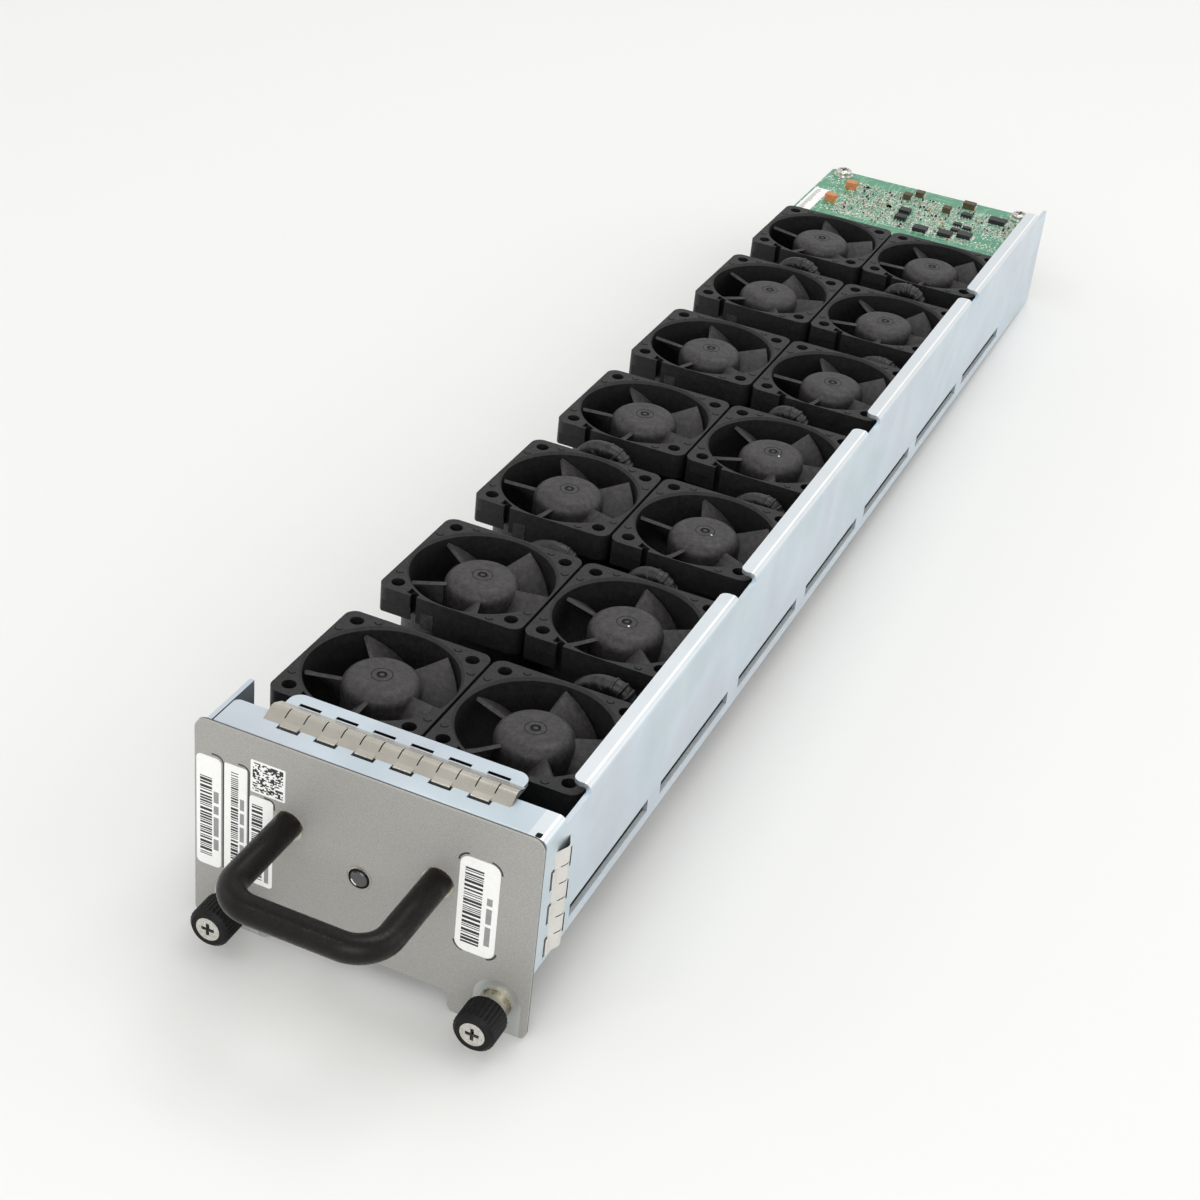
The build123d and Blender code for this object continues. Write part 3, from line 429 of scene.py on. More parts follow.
# makeGrained's values, by material slot or by the name that pieces ask for:
# name, dark and pale tone, grain, gloss, relief, plain settings
grained = {
    # black satin lacquer on a drawn steel bar: soft long highlight, warm brown cast, fine speckle
    "handle_finish": ("blackLacquerOnDrawnSteel", "#030202", "#130D0A", 0.7, (0.24, 0.48), 0.8,
                      {"Specular IOR Level": 0.23}),
    # bright zinc-nickel plate on a cold-headed screw
    "plated_screw": ("nickelPlatedSteelHeaded", "#BDBBB4", "#E4E2DC", 0.3, (0.18, 0.36), 0.2, metal),
    # smoked polycarbonate light pipe: dark, glassy
    "lamp_lens": ("smokedPolycarbonateMoulded", "#0C0E12", "#1A1E24", 0.8, (0.05, 0.1), 0.05, {"IOR": 1.58}),
    # nickel-plated spring bronze, bright and slightly yellow, rubbed along the fingers
    "finger_metal": ("nickelPlatedSpringBronze", "#BFBAB0", "#CAC5BB", 4.0, (0.26, 0.32), 0.0, metal),
    # nickel plate on turned steel: even, warm, mirror-like but for a slight haze
    "nickel": ("turnedNickelPlatedSteel", "#A8A496", "#C4C0B2", 1.2, (0.2, 0.3), 0.02, metal),
    # glass-filled nylon with a spark-eroded texture: dry black with grey pinpoints
    "knob_plastic": ("glassFilledNylonMoulded", "#060606", "#101010", 0.3, (0.4, 0.62), 0.9,
                     {"Specular IOR Level": 0.22}),
    # drawn spring wire under a film of oil: dark grey with a wet line of light
    "spring_steel": ("springSteelWireOiled", "#5A5856", "#8A8784", 0.3, (0.25, 0.4), 0.2, metal),
    # black epoxy chip bodies, satin from the mould
    "chip_epoxy": ("epoxyChipMoulded", "#101012", "#1D1D20", 0.2, (0.4, 0.55), 0.3, {}),
    # tantalum capacitors moulded in orange-brown epoxy
    "capacitor": ("tantalumCapacitorMoulded", "#B5693B", "#CF8F5E", 0.3, (0.4, 0.55), 0.3, {}),
    # ferrite chokes in brown resin, dull and slightly mottled
    "choke": ("ferriteChokeMoulded", "#38321F", "#5C4C30", 0.3, (0.4, 0.6), 0.3, {}),
    # black polyester of plugs and of the rear connector, a fine matt skin
    "connector_plastic": ("polyesterConnectorMoulded", "#141414", "#202020", 0.25, (0.42, 0.58), 0.3, {}),
    # natural nylon of the lead headers: cream, light goes a little way in
    "header_plastic": ("nylonHeaderMoulded", "#B9B5A6", "#D8D4C6", 0.25, (0.4, 0.55), 0.2,
                       {"Subsurface Weight": 0.1}),
    # gold flash on stamped brass: bright yellow contacts
    "contact_metal": ("goldFlashedBrassStamped", "#B08A3A", "#D9B868", 0.3, (0.2, 0.35), 0.15, metal),
    # porous bearing bronze, brown and dull with oil
    "bearing_bronze": ("sinteredBronzeBearing", "#6E5232", "#94714A", 0.2, (0.35, 0.5), 0.4, metal),
    # enamelled copper wire: red-brown, the turns show as fine level ridges
    "winding": ("enamelledCopperWound", "#6E2F16", "#A5542A", 0.25, (0.25, 0.4), 0.6, metal, (0.05, 0.05, 1)),
    # glass-filled polyester fan housing: deep black with a dry, slightly mottled top
    "fan_plastic": ("glassFilledPolyesterMoulded", "#0B0B0C", "#1D1D1E", 0.5, (0.42, 0.66), 1.0,
                    {"Specular IOR Level": 0.4}),
    # softer, greyer plastic of the impeller, blasted mould, dusty sheen
    "rotor_plastic": ("impellerPolyesterMoulded", "#211F20", "#3E3B3D", 0.5, (0.4, 0.6), 1.0,
                      {"Specular IOR Level": 0.42}),
    # the same zinc on the deck, rougher, and drawn darker with painted shade where it lies under the fans
    "deckZincShaded": ("zincPlatedSteelPaintedShade", "#7A8286", "#939A9E", 1.5, (0.5, 0.65), 0.1, {"Metallic": 0.7}),
    # the spring bronze on the wall, drawn paler with the painted reflection of the white room that it faces
    "sideFingersPaintedLight": ("nickelPlatedSpringBronzePaintedLight", "#D9D7D1", "#E3E1DC", 4.0, (0.3, 0.38), 0.0, metal),
    # satin white polyester label, faint tooth
    "label": ("polyesterLabelCoated", "#EEEEEB", "#F5F5F2", 0.3, (0.4, 0.5), 0.05, {}),
    # thermal-transfer print: slightly grey black wax
    "print": ("thermalPrintWax", "#161618", "#2A2A2C", 0.3, (0.4, 0.5), 0.05, {}),
    # painted shade: the same black plastic drawn darker and matt, where mould marks, slots and the lamp's seat lie
    # in shade
    "shadow": ("polyesterPaintedShade", "#060606", "#0B0B0B", 0.3, (0.6, 0.7), 0.1, {"Specular IOR Level": 0.15}),
    # fine print that runs together to mid grey
    "greyPrint": ("thermalPrintWaxFine", "#8A8A8A", "#989898", 0.3, (0.4, 0.5), 0.05, {}),
    # black ink screened on the paint, thin enough to look brownish
    "panelInk": ("screenPrintInk", "#2B2826", "#393532", 0.3, (0.4, 0.5), 0.05, {}),
    # painted shade at the bottom of a cross recess: dark steel
    "recessShade": ("steelRecessPaintedShade", "#3A3A3B", "#565657", 0.2, (0.35, 0.5), 0.3, {"Metallic": 0.9}),
    # the lens of the lamp: smoked, with a paler body seen through it
    "lens": ("smokedPolycarbonatePolished", "#2E2D30", "#3C3A3D", 0.9, (0.04, 0.08), 0.02,
             {"IOR": 1.58, "Coat Weight": 0.6}),
    # plain aluminium foil sticker, rolled
    "foil": ("aluminiumFoilRolled", "#B9BCBE", "#CFD1D2", 0.4, (0.35, 0.45), 0.1, {"Metallic": 0.9}),
    # bright solder over pads, legs and tabs
    "solder": ("tinSolderReflowed", "#C9CCC3", "#EAECE4", 0.2, (0.28, 0.45), 0.2, {"Metallic": 0.6}),
    # the sheet's sheared edge, burnished by the punch
    "cutEdge": ("shearedSteelEdge", "#BFC6CA", "#D2D8DB", 0.4, (0.4, 0.55), 0.1, {"Metallic": 0.3}),
    # fired ceramic of the chip capacitors: plain tan
    "ceramic": ("ceramicCapacitorFired", "#8E7550", "#A88E66", 0.2, (0.35, 0.5), 0.2, {}),
    # glass glaze over the chip resistors: blue-black, shiny
    "resistor": ("thickFilmResistorGlazed", "#1C2426", "#2A3436", 0.2, (0.3, 0.4), 0.1, {}),
    # white ink screened on the board, tinted by the green below
    "whiteInk": ("boardInkScreened", "#D3DFD1", "#E4ECE1", 0.2, (0.5, 0.6), 0.05, {}),
}
finishes = {key: makeGrained(*row) for key, row in grained.items()}
finishes.update(zinc_sheet=makeZinc(), panel_paint=makePaint(), solder_mask=makeSolderMask(), sleeve=makeSleeve())
ownLooks = {"fan_deck": "deckZincShaded", "side_gasket": "sideFingersPaintedLight"}


def dressNodes():
    slotOf = {piece["node"]: piece["material_slot"] for piece in frame["record"]["subparts"]}
    for name, thing in nodes.items():
        thing.data.materials.clear()
        thing.data.materials.append(finishes[ownLooks.get(name, slotOf[name])])
    print("dressed", len(nodes), "nodes")


dressNodes()


# pieces are drawn in millimetres, as spot() counts them: this sets one in the frame, with the finishes named
# and the body that it rides
def makePiece(bm, name, shown, body="tray"):
    toFrame = Matrix.Translation(spot(0, 0, 0)) @ Matrix.Diagonal((mm, mm, mm, 1))
    bmesh.ops.transform(bm, matrix=toFrame, verts=bm.verts)
    bmesh.ops.recalc_face_normals(bm, faces=bm.faces)
    mesh = bpy.data.meshes.new(name)
    bm.to_mesh(mesh)
    bm.free()
    for key in shown.split():
        mesh.materials.append(finishes[key])
    piece = bpy.data.objects.new(name, mesh)
    bpy.context.scene.collection.objects.link(piece)
    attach(piece, body)
    return piece


tiny = 1e-6  # a length, in millimetres, that counts as none
weld = 1e-5  # points closer than this become one


# a block between two corners, with the edges that run along one axis rounded
def addBlock(bm, low, high, material=0, corner=0.0, along=1, segments=4):
    low, high = Vector(low), Vector(high)
    made = bmesh.ops.create_cube(bm, size=1)["verts"]
    bmesh.ops.scale(bm, verts=made, vec=high - low)
    bmesh.ops.translate(bm, verts=made, vec=(low + high) / 2)
    for face in {face for vert in made for face in vert.link_faces}:
        face.material_index = material
    if corner:
        edges = [edge for edge in {edge for vert in made for edge in vert.link_edges}
                 if abs(edge.verts[0].co[along] - edge.verts[1].co[along]) > tiny]
        bmesh.ops.bevel(bm, geom=edges, offset=corner, segments=segments, profile=0.5, affect="EDGES", material=-1)


# an outline of (radius, height) points, turned round Z and stood at a place with its height along a direction
def addTurned(bm, outline, place, towards=(0, 0, 1), steps=32, closed=True, angle=2 * math.pi, start=0.0,
              material=0):
    part = bmesh.new()
    verts = [part.verts.new((radius, 0, height)) for radius, height in outline]
    edges = [part.edges.new(pair) for pair in zip(verts, verts[1:])]
    if closed:
        edges.append(part.edges.new((verts[-1], verts[0])))
    whole = angle >= 2 * math.pi
    bmesh.ops.spin(part, geom=verts + edges, cent=(0, 0, 0), axis=(0, 0, 1), angle=angle, steps=steps,
                   use_merge=whole)
    if not whole:
        ends = [edge for edge in part.edges if edge.is_boundary]
        bmesh.ops.holes_fill(part, edges=ends, sides=len(outline))
    bmesh.ops.remove_doubles(part, verts=part.verts, dist=weld)
    turn = Vector(towards).to_track_quat("Z", "Y").to_matrix().to_4x4() @ Matrix.Rotation(start, 4, "Z")
    bmesh.ops.transform(part, matrix=Matrix.Translation(place) @ turn, verts=part.verts)
    for face in part.faces:
        face.material_index = material
    mesh = bpy.data.meshes.new("turned")
    part.to_mesh(mesh)
    part.free()
    bm.from_mesh(mesh)
    bpy.data.meshes.remove(mesh)


# labels on the panel: satin polyester with rounded corners, black thermal print in plain random bars
labels = {
    "thick": 0.1,
    "print": 0.015,  # how far the print is drawn proud, so that it shows
    "bars": (0.26, 0.26, 0.5, 0.74), "gaps": (0.28, 0.28, 0.52), "barEnd": 0.3,
    "lines": (2.0, 6.5), "lineGap": 0.9, "lineEnd": 1.5,
    # name, left, right, bottom, top, corner, then the bars and the grey lines as shares of the label:
    # left, right, bottom, top
    "strips": [
        ("strip_label_outer", -43.2, -36.6, -2.1, 29.5, 1.3, (0.15, 0.63, 0.09, 0.82), (0.70, 0.90, 0.16, 0.70)),
        ("strip_label_middle", -35.8, -29.8, -2.5, 29.5, 0.5, (0.30, 0.62, 0.08, 0.94), (0.70, 0.88, 0.24, 0.72)),
        ("strip_label_inner", -29.1, -22.9, -2.4, 23.0, 0.9, (0.10, 0.56, 0.06, 0.92), (0.66, 0.84, 0.05, 0.62)),
        ("strip_label_right", 24.3, 34.2, 1.7, 28.5, 2.4, (0.14, 0.60, 0.09, 0.89), (0.72, 0.86, 0.13, 0.70)),
    ],
    "code": (-28.9, -19.9, 24.1, 33.1),  # left, right, bottom, top
    "cells": 24, "codeEdge": 0.55, "codeCorner": 0.3, "runs": (1, 1, 1, 2, 2, 3), "filled": 0.5,
}


def addPrint(bm, left, right, bottom, top, material):
    thick = labels["thick"]
    addBlock(bm, (left, -thick - labels["print"], bottom), (right, -thick, top), material)


def addBars(bm, left, right, bottom, top, chance):
    while bottom < top - labels["barEnd"]:
        width = chance.choice(labels["bars"])
        addPrint(bm, left, right, bottom, bottom + width, 1)
        bottom += width + chance.choice(labels["gaps"])


# plain grey lines where a real label has its lettering
def addLines(bm, left, right, bottom, top, chance):
    while bottom < top - labels["lineEnd"]:
        long = min(chance.uniform(*labels["lines"]), top - bottom)
        addPrint(bm, left, right, bottom, bottom + long, 2)
        bottom += long + labels["lineGap"]


# a square of random cells that encodes nothing
def makeCode(chance):
    left, right, bottom, top = labels["code"]
    bm = bmesh.new()
    addBlock(bm, (left, -labels["thick"], bottom), (right, 0, top), 0, labels["codeCorner"])
    cells, edge = labels["cells"], labels["codeEdge"]
    cell = (right - left - 2 * edge) / cells
    for row in range(cells):
        column = 0
        while column < cells:
            run = min(chance.choice(labels["runs"]), cells - column)
            if chance.random() < labels["filled"]:
                x, z = left + edge + column * cell, bottom + edge + row * cell
                addPrint(bm, x, x + run * cell, z, z + cell, 1)
            column += run
    makePiece(bm, "square_code_label", "label print")


def makeLabels():
    chance = random.Random(4)
    for name, left, right, bottom, top, corner, bars, lines in labels["strips"]:
        bm = bmesh.new()
        addBlock(bm, (left, -labels["thick"], bottom), (right, 0, top), 0, corner)
        wide, high = right - left, top - bottom
        for (x0, x1, z0, z1), draw in ((bars, addBars), (lines, addLines)):
            draw(bm, left + wide * x0, left + wide * x1, bottom + high * z0, bottom + high * z1, chance)
        makePiece(bm, name, "label print greyPrint")
    makeCode(chance)


# thin printed corners on the panel that show where the labels go
marks = {
    "line": 0.44,
    "proud": 0.02,
    # centre x, centre z, radius, from, to in degrees, straight run before, straight run after
    "corners": [
        (-38.0, 28.5, 1.95, 0, 90, 30.0, 1.2),
        (-31.0, 28.6, 1.65, 0, 90, 22.0, 1.2),
        (-24.2, 21.9, 1.5, 0, 90, 1.0, 1.2),
        (31.6, 26.0, 3.0, 5, 85, 0.0, 0.0),
        (26.6, 26.5, 2.7, 95, 175, 0.0, 0.0),
        (31.8, 4.2, 2.9, -80, -10, 0.0, 0.0),
        (26.7, 4.3, 2.8, 190, 262, 0.0, 0.0),
    ],
}


def makePanelMarks():
    bm = bmesh.new()
    half, proud = marks["line"] / 2, marks["proud"]
    for x, z, radius, start, end, down, back in marks["corners"]:
        near, far = radius - half, radius + half
        outline = [(near, 0), (far, 0), (far, proud), (near, proud)]
        addTurned(bm, outline, (x, 0, z), outward, 8, angle=math.radians(end - start), start=math.radians(start))
        if down:
            addBlock(bm, (x + near, -proud, z - down), (x + far, 0, z))
        if back:
            addBlock(bm, (x - back, -proud, z + near), (x, 0, z + far))
    makePiece(bm, "panel_corner_marks", "panelInk")


# bare nickel rims: at the foot of each handle leg, and the pressed bezel of the status lamp; outlines as
# (radius, height)
rims = {
    "legs": ((-19.05, 18.05), (19.25, 18.05)),
    "leg": [(3.35, -0.02), (4.05, -0.02), (3.99, 0.14), (3.35, 0.14)],
    "bezel": [(2.62, -0.02), (3.15, -0.02), (3.1, 0.154), (2.95, 0.22), (2.74, 0.22), (2.62, 0.132)],
    "steps": 40,
}


def makeRims():
    for name, spots, outline in (("handle_leg_rims", rims["legs"], rims["leg"]),
                                 ("lamp_bezel", (lampSpot,), rims["bezel"])):
        bm = bmesh.new()
        for x, z in spots:
            addTurned(bm, outline, (x, 0, z), outward, rims["steps"])
        makePiece(bm, name, "nickel")


# the status lamp's window: a seat dark with painted shade, and a low faceted dome that stands in it
lens = {
    "seat": [(2.25, 0.38), (2.6, 0.38), (2.6, 0.44), (2.25, 0.5)],
    "dome": [(0, 0.3), (2.2, 0.3), (2.2, 0.42), (1.9, 0.62), (1.2, 0.74), (0.0, 0.78)],
    "facets": 14,
    # painted highlight: a pale crescent on the dome that stands for a glint; outline, start and sweep in degrees
    "chip": [(1.45, 0.6), (1.9, 0.56), (1.9, 0.68), (1.45, 0.78)],
    "paintedGlintArc": (195, 62),
}


def makeLens():
    x, z = lampSpot
    bm = bmesh.new()
    addTurned(bm, lens["seat"], (x, 0, z), outward, rims["steps"], material=1)
    addTurned(bm, lens["dome"], (x, 0, z), outward, lens["facets"])
    start, sweep = (math.radians(turn) for turn in lens["paintedGlintArc"])
    # painted highlight: the pale glint crescent
    addTurned(bm, lens["chip"], (x, 0, z), outward, 8, angle=sweep, start=start, material=2)
    makePiece(bm, "lamp_lens_dome", "lens shadow label")


# the gaskets' rear slots: painted shade, a dark strip on each slot's rear cut face, and the clips' tips that hold
# in it
clips = {
    # of each gasket: middle, front y, face of its sheet, number of fingers; the side one runs down
    "top": (0.6, 11.45, 39.0, 13), "side": (17.6, 10.7, 43.7, 6),
    "pitch": 4.8, "slot": 4.8, "long": 5.6, "half": 0.55,
    "sheet": 1.2, "edge": 0.12, "sunk": 0.02,
    "tip": (0.42, 0.25, 0.3, 0.3),  # width, depth below the sheet's face, thickness, inset at each end
    # painted shade: a dark block that stands for the relief hole
    "notch": ((40.5, 1.3, 39.0), (41.9, 2.9, 39.03), 0.3),  # relief hole where plate and flange meet
}


def makeGasketSlotShade():
    bm = bmesh.new()
    far, near, half = clips["slot"] + clips["half"], clips["slot"] - clips["half"], clips["long"] / 2
    wide, drop, thick, inset = clips["tip"]
    for key, turn in (("top", 1), ("side", -1)):
        along, y, face, fingers = clips[key]
        for index in range(1, fingers, 2):
            middle = along + turn * (index - (fingers - 1) / 2) * clips["pitch"]
            # painted shade on the slot's rear cut face
            edge = ((middle - half, y + far - clips["edge"], face - clips["sheet"]),
                    (middle + half, y + far, face - clips["sunk"]))
            tip = ((middle - half + inset, y + near, face - drop - thick),
                   (middle + half - inset, y + near + wide, face - drop))
            # a corner turned round has its x and z in each other's place
            for material, corners in enumerate((edge, tip)):
                addBlock(bm, *(corner[::turn] for corner in corners), material)
    # painted shade for the relief hole
    low, high, corner = clips["notch"]
    addBlock(bm, low, high, 0, corner, 2, 3)
    makePiece(bm, "gasket_slot_shade", "shadow finger_metal")


# the wall's air slots: matt black behind each, as the fans' shade makes it, and a burnished lower edge
slots = {
    "first": 41.24, "long": 45.2, "low": 4.65, "high": 8.5,
    "inside": (42.5, 42.58), "outside": 43.66, "burr": 0.03, "inset": 0.2,
}


def makeSlotShade():
    bm = bmesh.new()
    near, far = slots["inside"]
    low, inset = slots["low"], slots["inset"]
    for row in rows:
        middle = slots["first"] + (row - 1) * fans["pitch"]
        front, rear = middle - slots["long"] / 2, middle + slots["long"] / 2
        addBlock(bm, (near, front, low), (far, rear, slots["high"]))
        addBlock(bm, (far, front + inset, low), (slots["outside"], rear - inset, low + slots["burr"]), 1)
    makePiece(bm, "wall_slot_shade", "shadow cutEdge")


# painted shade: dark floors of the cross recesses in the captive screws and the board's screws: length and width
# of a cross, how far its floor lies in front of the panel or above the deck, and its thickness
recesses = {
    "captive": (3.3, 0.8, 11.35, 0.35),
    "board": (3.1, 0.7, 33.05, 0.35),
    "boardScrews": ((-34.5, 428.5), (34.5, 428.5)),
}


def makeRecessShade():
    long, wide, depth, thick = recesses["captive"]
    for side in sides:
        x, z = screws[side], screws["z"]
        bm = bmesh.new()
        for half, other in ((long / 2, wide / 2), (wide / 2, long / 2)):
            addBlock(bm, (x - half, -depth - thick, z - other), (x + half, -depth, z + other))
        makePiece(bm, "recess_shade_" + side, "recessShade", "thumbscrew_" + side)
    bm = bmesh.new()
    long, wide, high, thick = recesses["board"]
    for x, y in recesses["boardScrews"]:
        for half, other in ((long / 2, wide / 2), (wide / 2, long / 2)):
            addBlock(bm, (x - half, y - other, high), (x + half, y + other, high + thick))
    makePiece(bm, "board_recess_shade", "recessShade")


# gathers in the sleeves where the leads arch over between the fans: soft rings round each arch
folds = {
    # of each arch: where it starts, its width, and how far it rises past the fans' top
    "leads": {
        "left_3": (13, 10.5, -1.8), "left_4": (1, 15, 1.3), "left_7": (5.5, 11, 1.3), "right_2": (11, 12, 0.4),
        "right_3": (0, 11, -0.4), "right_4": (11.5, 10, -0.3), "right_5": (0, 9.5, 0.6),
        "right_6": (12, 10, -1.2), "right_7": (3, 10.5, 2.0),
    },
    "notch": 9.5, "gap": 6.55, "radius": 2.2, "foot": 0.12, "steps": 22,
    "reach": 0.45,  # an arch's radius, as a share of its width
    "flat": (0.8, 0.6),  # its first half is flatter by these, across and up
    "angles": (-38, -16, 6, 27, 46, 64),
    "turn": 9, "lean": 0.22, "wide": (0.5, 0.9), "high": (0.16, 0.34),  # ranges of the random draws
}


# middle of a gather on an arch, at an angle from the arch's top
def gatherPlace(centre, reach, angle):
    turn = math.radians(angle)
    if angle < 0:
        across, up = folds["flat"]
        return centre + Vector((reach * math.sin(turn) * across, 0, reach - reach * (1 - math.cos(turn)) * up))
    return centre + Vector((reach * math.sin(turn), 0, reach * math.cos(turn)))


def makeFolds():
    chance = random.Random(7)
    bm = bmesh.new()
    radius = folds["radius"]
    low = radius - folds["foot"]
    for name, (start, width, rise) in folds["leads"].items():
        side, row = name.split("_")
        middle = fanMiddle(side, int(row))
        reach = folds["reach"] * width
        centre = Vector((middle.x - folds["notch"] + start + width - reach,
                         middle.y - fans["size"] / 2 - folds["gap"], fans["top"] + rise - radius - reach))
        for angle in folds["angles"]:
            lean = math.radians(angle + chance.uniform(-folds["turn"], folds["turn"]))
            towards = (math.cos(lean), chance.uniform(-folds["lean"], folds["lean"]), -math.sin(lean))
            wide, high = chance.uniform(*folds["wide"]), chance.uniform(*folds["high"])
            outline = [(low, -wide), (radius + high * 0.7, -wide * 0.45), (radius + high, 0),
                       (radius + high * 0.6, wide * 0.5), (low, wide)]
            addTurned(bm, outline, gatherPlace(centre, reach, angle), towards, folds["steps"])
    for face in bm.faces:
        face.smooth = True
    makePiece(bm, "lead_sleeve_gathers", "sleeve")


# fan units: where they stand, and the marks that the moulds leave on them, some drawn dark with painted shade
fans = {
    "first": 44.7, "pitch": 53.1, "side": 20.4, "size": 40.0, "top": 33.5, "hub": 32.7, "holes": 16.0,
    # marks on a hub: faint ring, dip round the gate, the gate's boss, rim of the dip, the ring and the dip dark
    # with painted shade; outline, steps, material
    "marks": [
        ([(2.5, -0.01), (2.72, -0.01), (2.66, 0.04), (2.56, 0.04)], 40, 2),
        ([(0.6, 0.02), (1.3, 0.02), (1.35, -0.01), (0.6, -0.01)], 32, 2),
        ([(0, 0.16), (0.36, 0.14), (0.6, 0.04), (0.65, -0.01), (0, -0.01)], 24, 0),
        ([(1.3, -0.01), (1.5, -0.01), (1.44, 0.09), (1.34, 0.09)], 32, 0),
    ],
    "dot": [(0, 0.03), (0.28, 0.03), (0.32, -0.01), (0, -0.01)],
    "dots": {"right_2": (1.2, -1.6), "right_3": (2.3, -1.2), "right_4": (2.4, -1.7)},  # from the hub's middle
    # the ejector marks are drawn dark with painted shade
    "crescent": (0.95, 0.34, 0.1, 0.01),  # radius, line, height and foot of the ejector marks
    "arc": (20, 162),  # their start and sweep in degrees
    "crescents": (5.0, 1.8),  # how far they stand from a hole along an edge, and from that edge
    "pads": ("left_2", "left_3", "left_5", "left_6", "left_4", "left_7"),
    "pad": (-7.2, -3.6, -8.5, -3.9),  # left, right, bottom and top of the pad on a front wall
    "padProud": 0.12, "padCorner": 0.2,
    "sticker": [(0, -0.06), (8.6, -0.06), (8.66, 0.0), (0, 0.0)], "base": 5.5,
}


def fanMiddle(side, row, height=fans["top"]):
    x = fans["side"] * (1 if side == "right" else -1)
    return Vector((x, fans["first"] + (row - 1) * fans["pitch"], height))


# every fan's side, row and name
fanNames = [(side, row, side + "_" + str(row)) for side in sides for row in rows]


def makeHubMarks():
    for side, row, name in fanNames:
        middle = fanMiddle(side, row, fans["hub"])
        bm = bmesh.new()
        # the ring and the dip carry painted shade
        for outline, steps, material in fans["marks"]:
            addTurned(bm, outline, middle, steps=steps, closed=outline[0][0] > 0, material=material)
        if name in fans["dots"]:
            x, y = fans["dots"][name]
            addTurned(bm, fans["dot"], middle + Vector((x, y, 0)), steps=10, closed=False, material=1)
        makePiece(bm, "hub_mark_" + name, "rotor_plastic label shadow", "impeller_" + name)


def makeFrameMarks():
    bm = bmesh.new()
    radius, line, proud, foot = fans["crescent"]
    outline = [(radius - line / 2, -foot), (radius + line / 2, -foot), (radius + line / 4, proud),
               (radius - line / 4, proud)]
    start, sweep = (math.radians(turn) for turn in fans["arc"])
    away, inside = fans["crescents"]
    edge, along = fans["size"] / 2 - inside, fans["holes"] - away
    left, right, bottom, top = fans["pad"]
    for side, row, name in fanNames:
        middle = fanMiddle(side, row)
        for sx in (-1, 1):
            for sy in (-1, 1):
                for x, y in ((sx * along, sy * edge), (sx * edge, sy * along)):
                    # painted shade: the crescents in the dark material
                    addTurned(bm, outline, middle + Vector((x, y, 0)), steps=8, angle=sweep, start=start,
                              material=2)
        if name in fans["pads"]:
            front = middle.y - fans["size"] / 2
            addBlock(bm, (middle.x + left, front - fans["padProud"], middle.z + bottom),
                     (middle.x + right, front, middle.z + top), 1, fans["padCorner"])
    makePiece(bm, "fan_mould_marks", "fan_plastic rotor_plastic shadow")


# round foil stickers under the motor bases, left bare
def makeBaseStickers():
    bm = bmesh.new()
    for side, row, name in fanNames:
        addTurned(bm, fans["sticker"], fanMiddle(side, row, fans["base"]), steps=40, closed=False)
    makePiece(bm, "motor_base_stickers", "foil")


# rolled threads on the captive screws' ends under the panel: one helical ridge each
threads = {
    **screws, "from": 3.3, "turns": 5.5, "pitch": 0.7, "radius": 1.99, "proud": 0.1,
    "foot": 0.05, "flank": 0.3, "steps": 16,
}


def makeThreads():
    low, high = threads["radius"] - threads["foot"], threads["radius"] + threads["proud"]
    wide = threads["pitch"] * threads["flank"]
    for side in sides:
        bm = bmesh.new()
        verts = [bm.verts.new(point) for point in ((low, 0, -wide), (high, 0, 0), (low, 0, wide))]
        edges = [bm.edges.new(pair) for pair in zip(verts, verts[1:] + verts[:1])]
        bmesh.ops.spin(bm, geom=verts + edges, cent=(0, 0, 0), axis=(0, 0, 1),
                       dvec=(0, 0, threads["pitch"] / threads["steps"]), angle=2 * math.pi * threads["turns"],
                       steps=int(threads["turns"] * threads["steps"]))
        bmesh.ops.holes_fill(bm, edges=[edge for edge in bm.edges if edge.is_boundary], sides=3)
        place = Matrix.Translation((threads[side], threads["from"], threads["z"]))
        bmesh.ops.transform(bm, matrix=place @ Matrix.Rotation(-math.pi / 2, 4, "X"), verts=bm.verts)
        makePiece(bm, "screw_thread_" + side, "plated_screw", "thumbscrew_" + side)


# coil springs in the knobs, drawn at rest; the real springs flatten towards their ferrules as a knob is pressed in
coils = {
    "from": 5.0, "long": 4.6, "pressed": 1.1, "radius": 2.65, "wire": 0.25, "turns": 3.2, "steps": 96, "sides": 8,
    "flat": 0.5,  # turns that lie flat at each end
    "gap": 0.02,
}


# one ring of points round the wire, at a share of the coil's length
def coilRing(bm, side, share):
    wire, gap, flat, turns = (coils[key] for key in ("wire", "gap", "flat", "turns"))
    turn = turns * share
    rise = min(max((turn - flat) / (turns - 2 * flat), 0), 1)
    out = Vector((math.cos(turn * 2 * math.pi), 0, math.sin(turn * 2 * math.pi)))
    depth = coils["from"] + wire + gap + rise * (coils["long"] - 2 * wire - 2 * gap)
    centre = Vector((threads[side], -depth, threads["z"])) + out * coils["radius"]
    ring = []
    for number in range(coils["sides"]):
        angle = 2 * math.pi * number / coils["sides"]
        ring.append(bm.verts.new(centre + (out * math.cos(angle) - Vector((0, math.sin(angle), 0))) * wire))
    return ring


def makeCoils():
    for side in sides:
        bm = bmesh.new()
        rings = [coilRing(bm, side, step / coils["steps"]) for step in range(coils["steps"] + 1)]
        for near, far in zip(rings, rings[1:]):
            for number in range(coils["sides"]):
                after = (number + 1) % coils["sides"]
                bm.faces.new((near[number], near[after], far[after], far[number])).smooth = True
        bm.faces.new(rings[0])
        bm.faces.new(rings[-1])
        piece = makePiece(bm, "thumbscrew_coil_" + side, "spring_steel")
        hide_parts("thumbscrew_spring_" + side)
        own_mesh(piece)


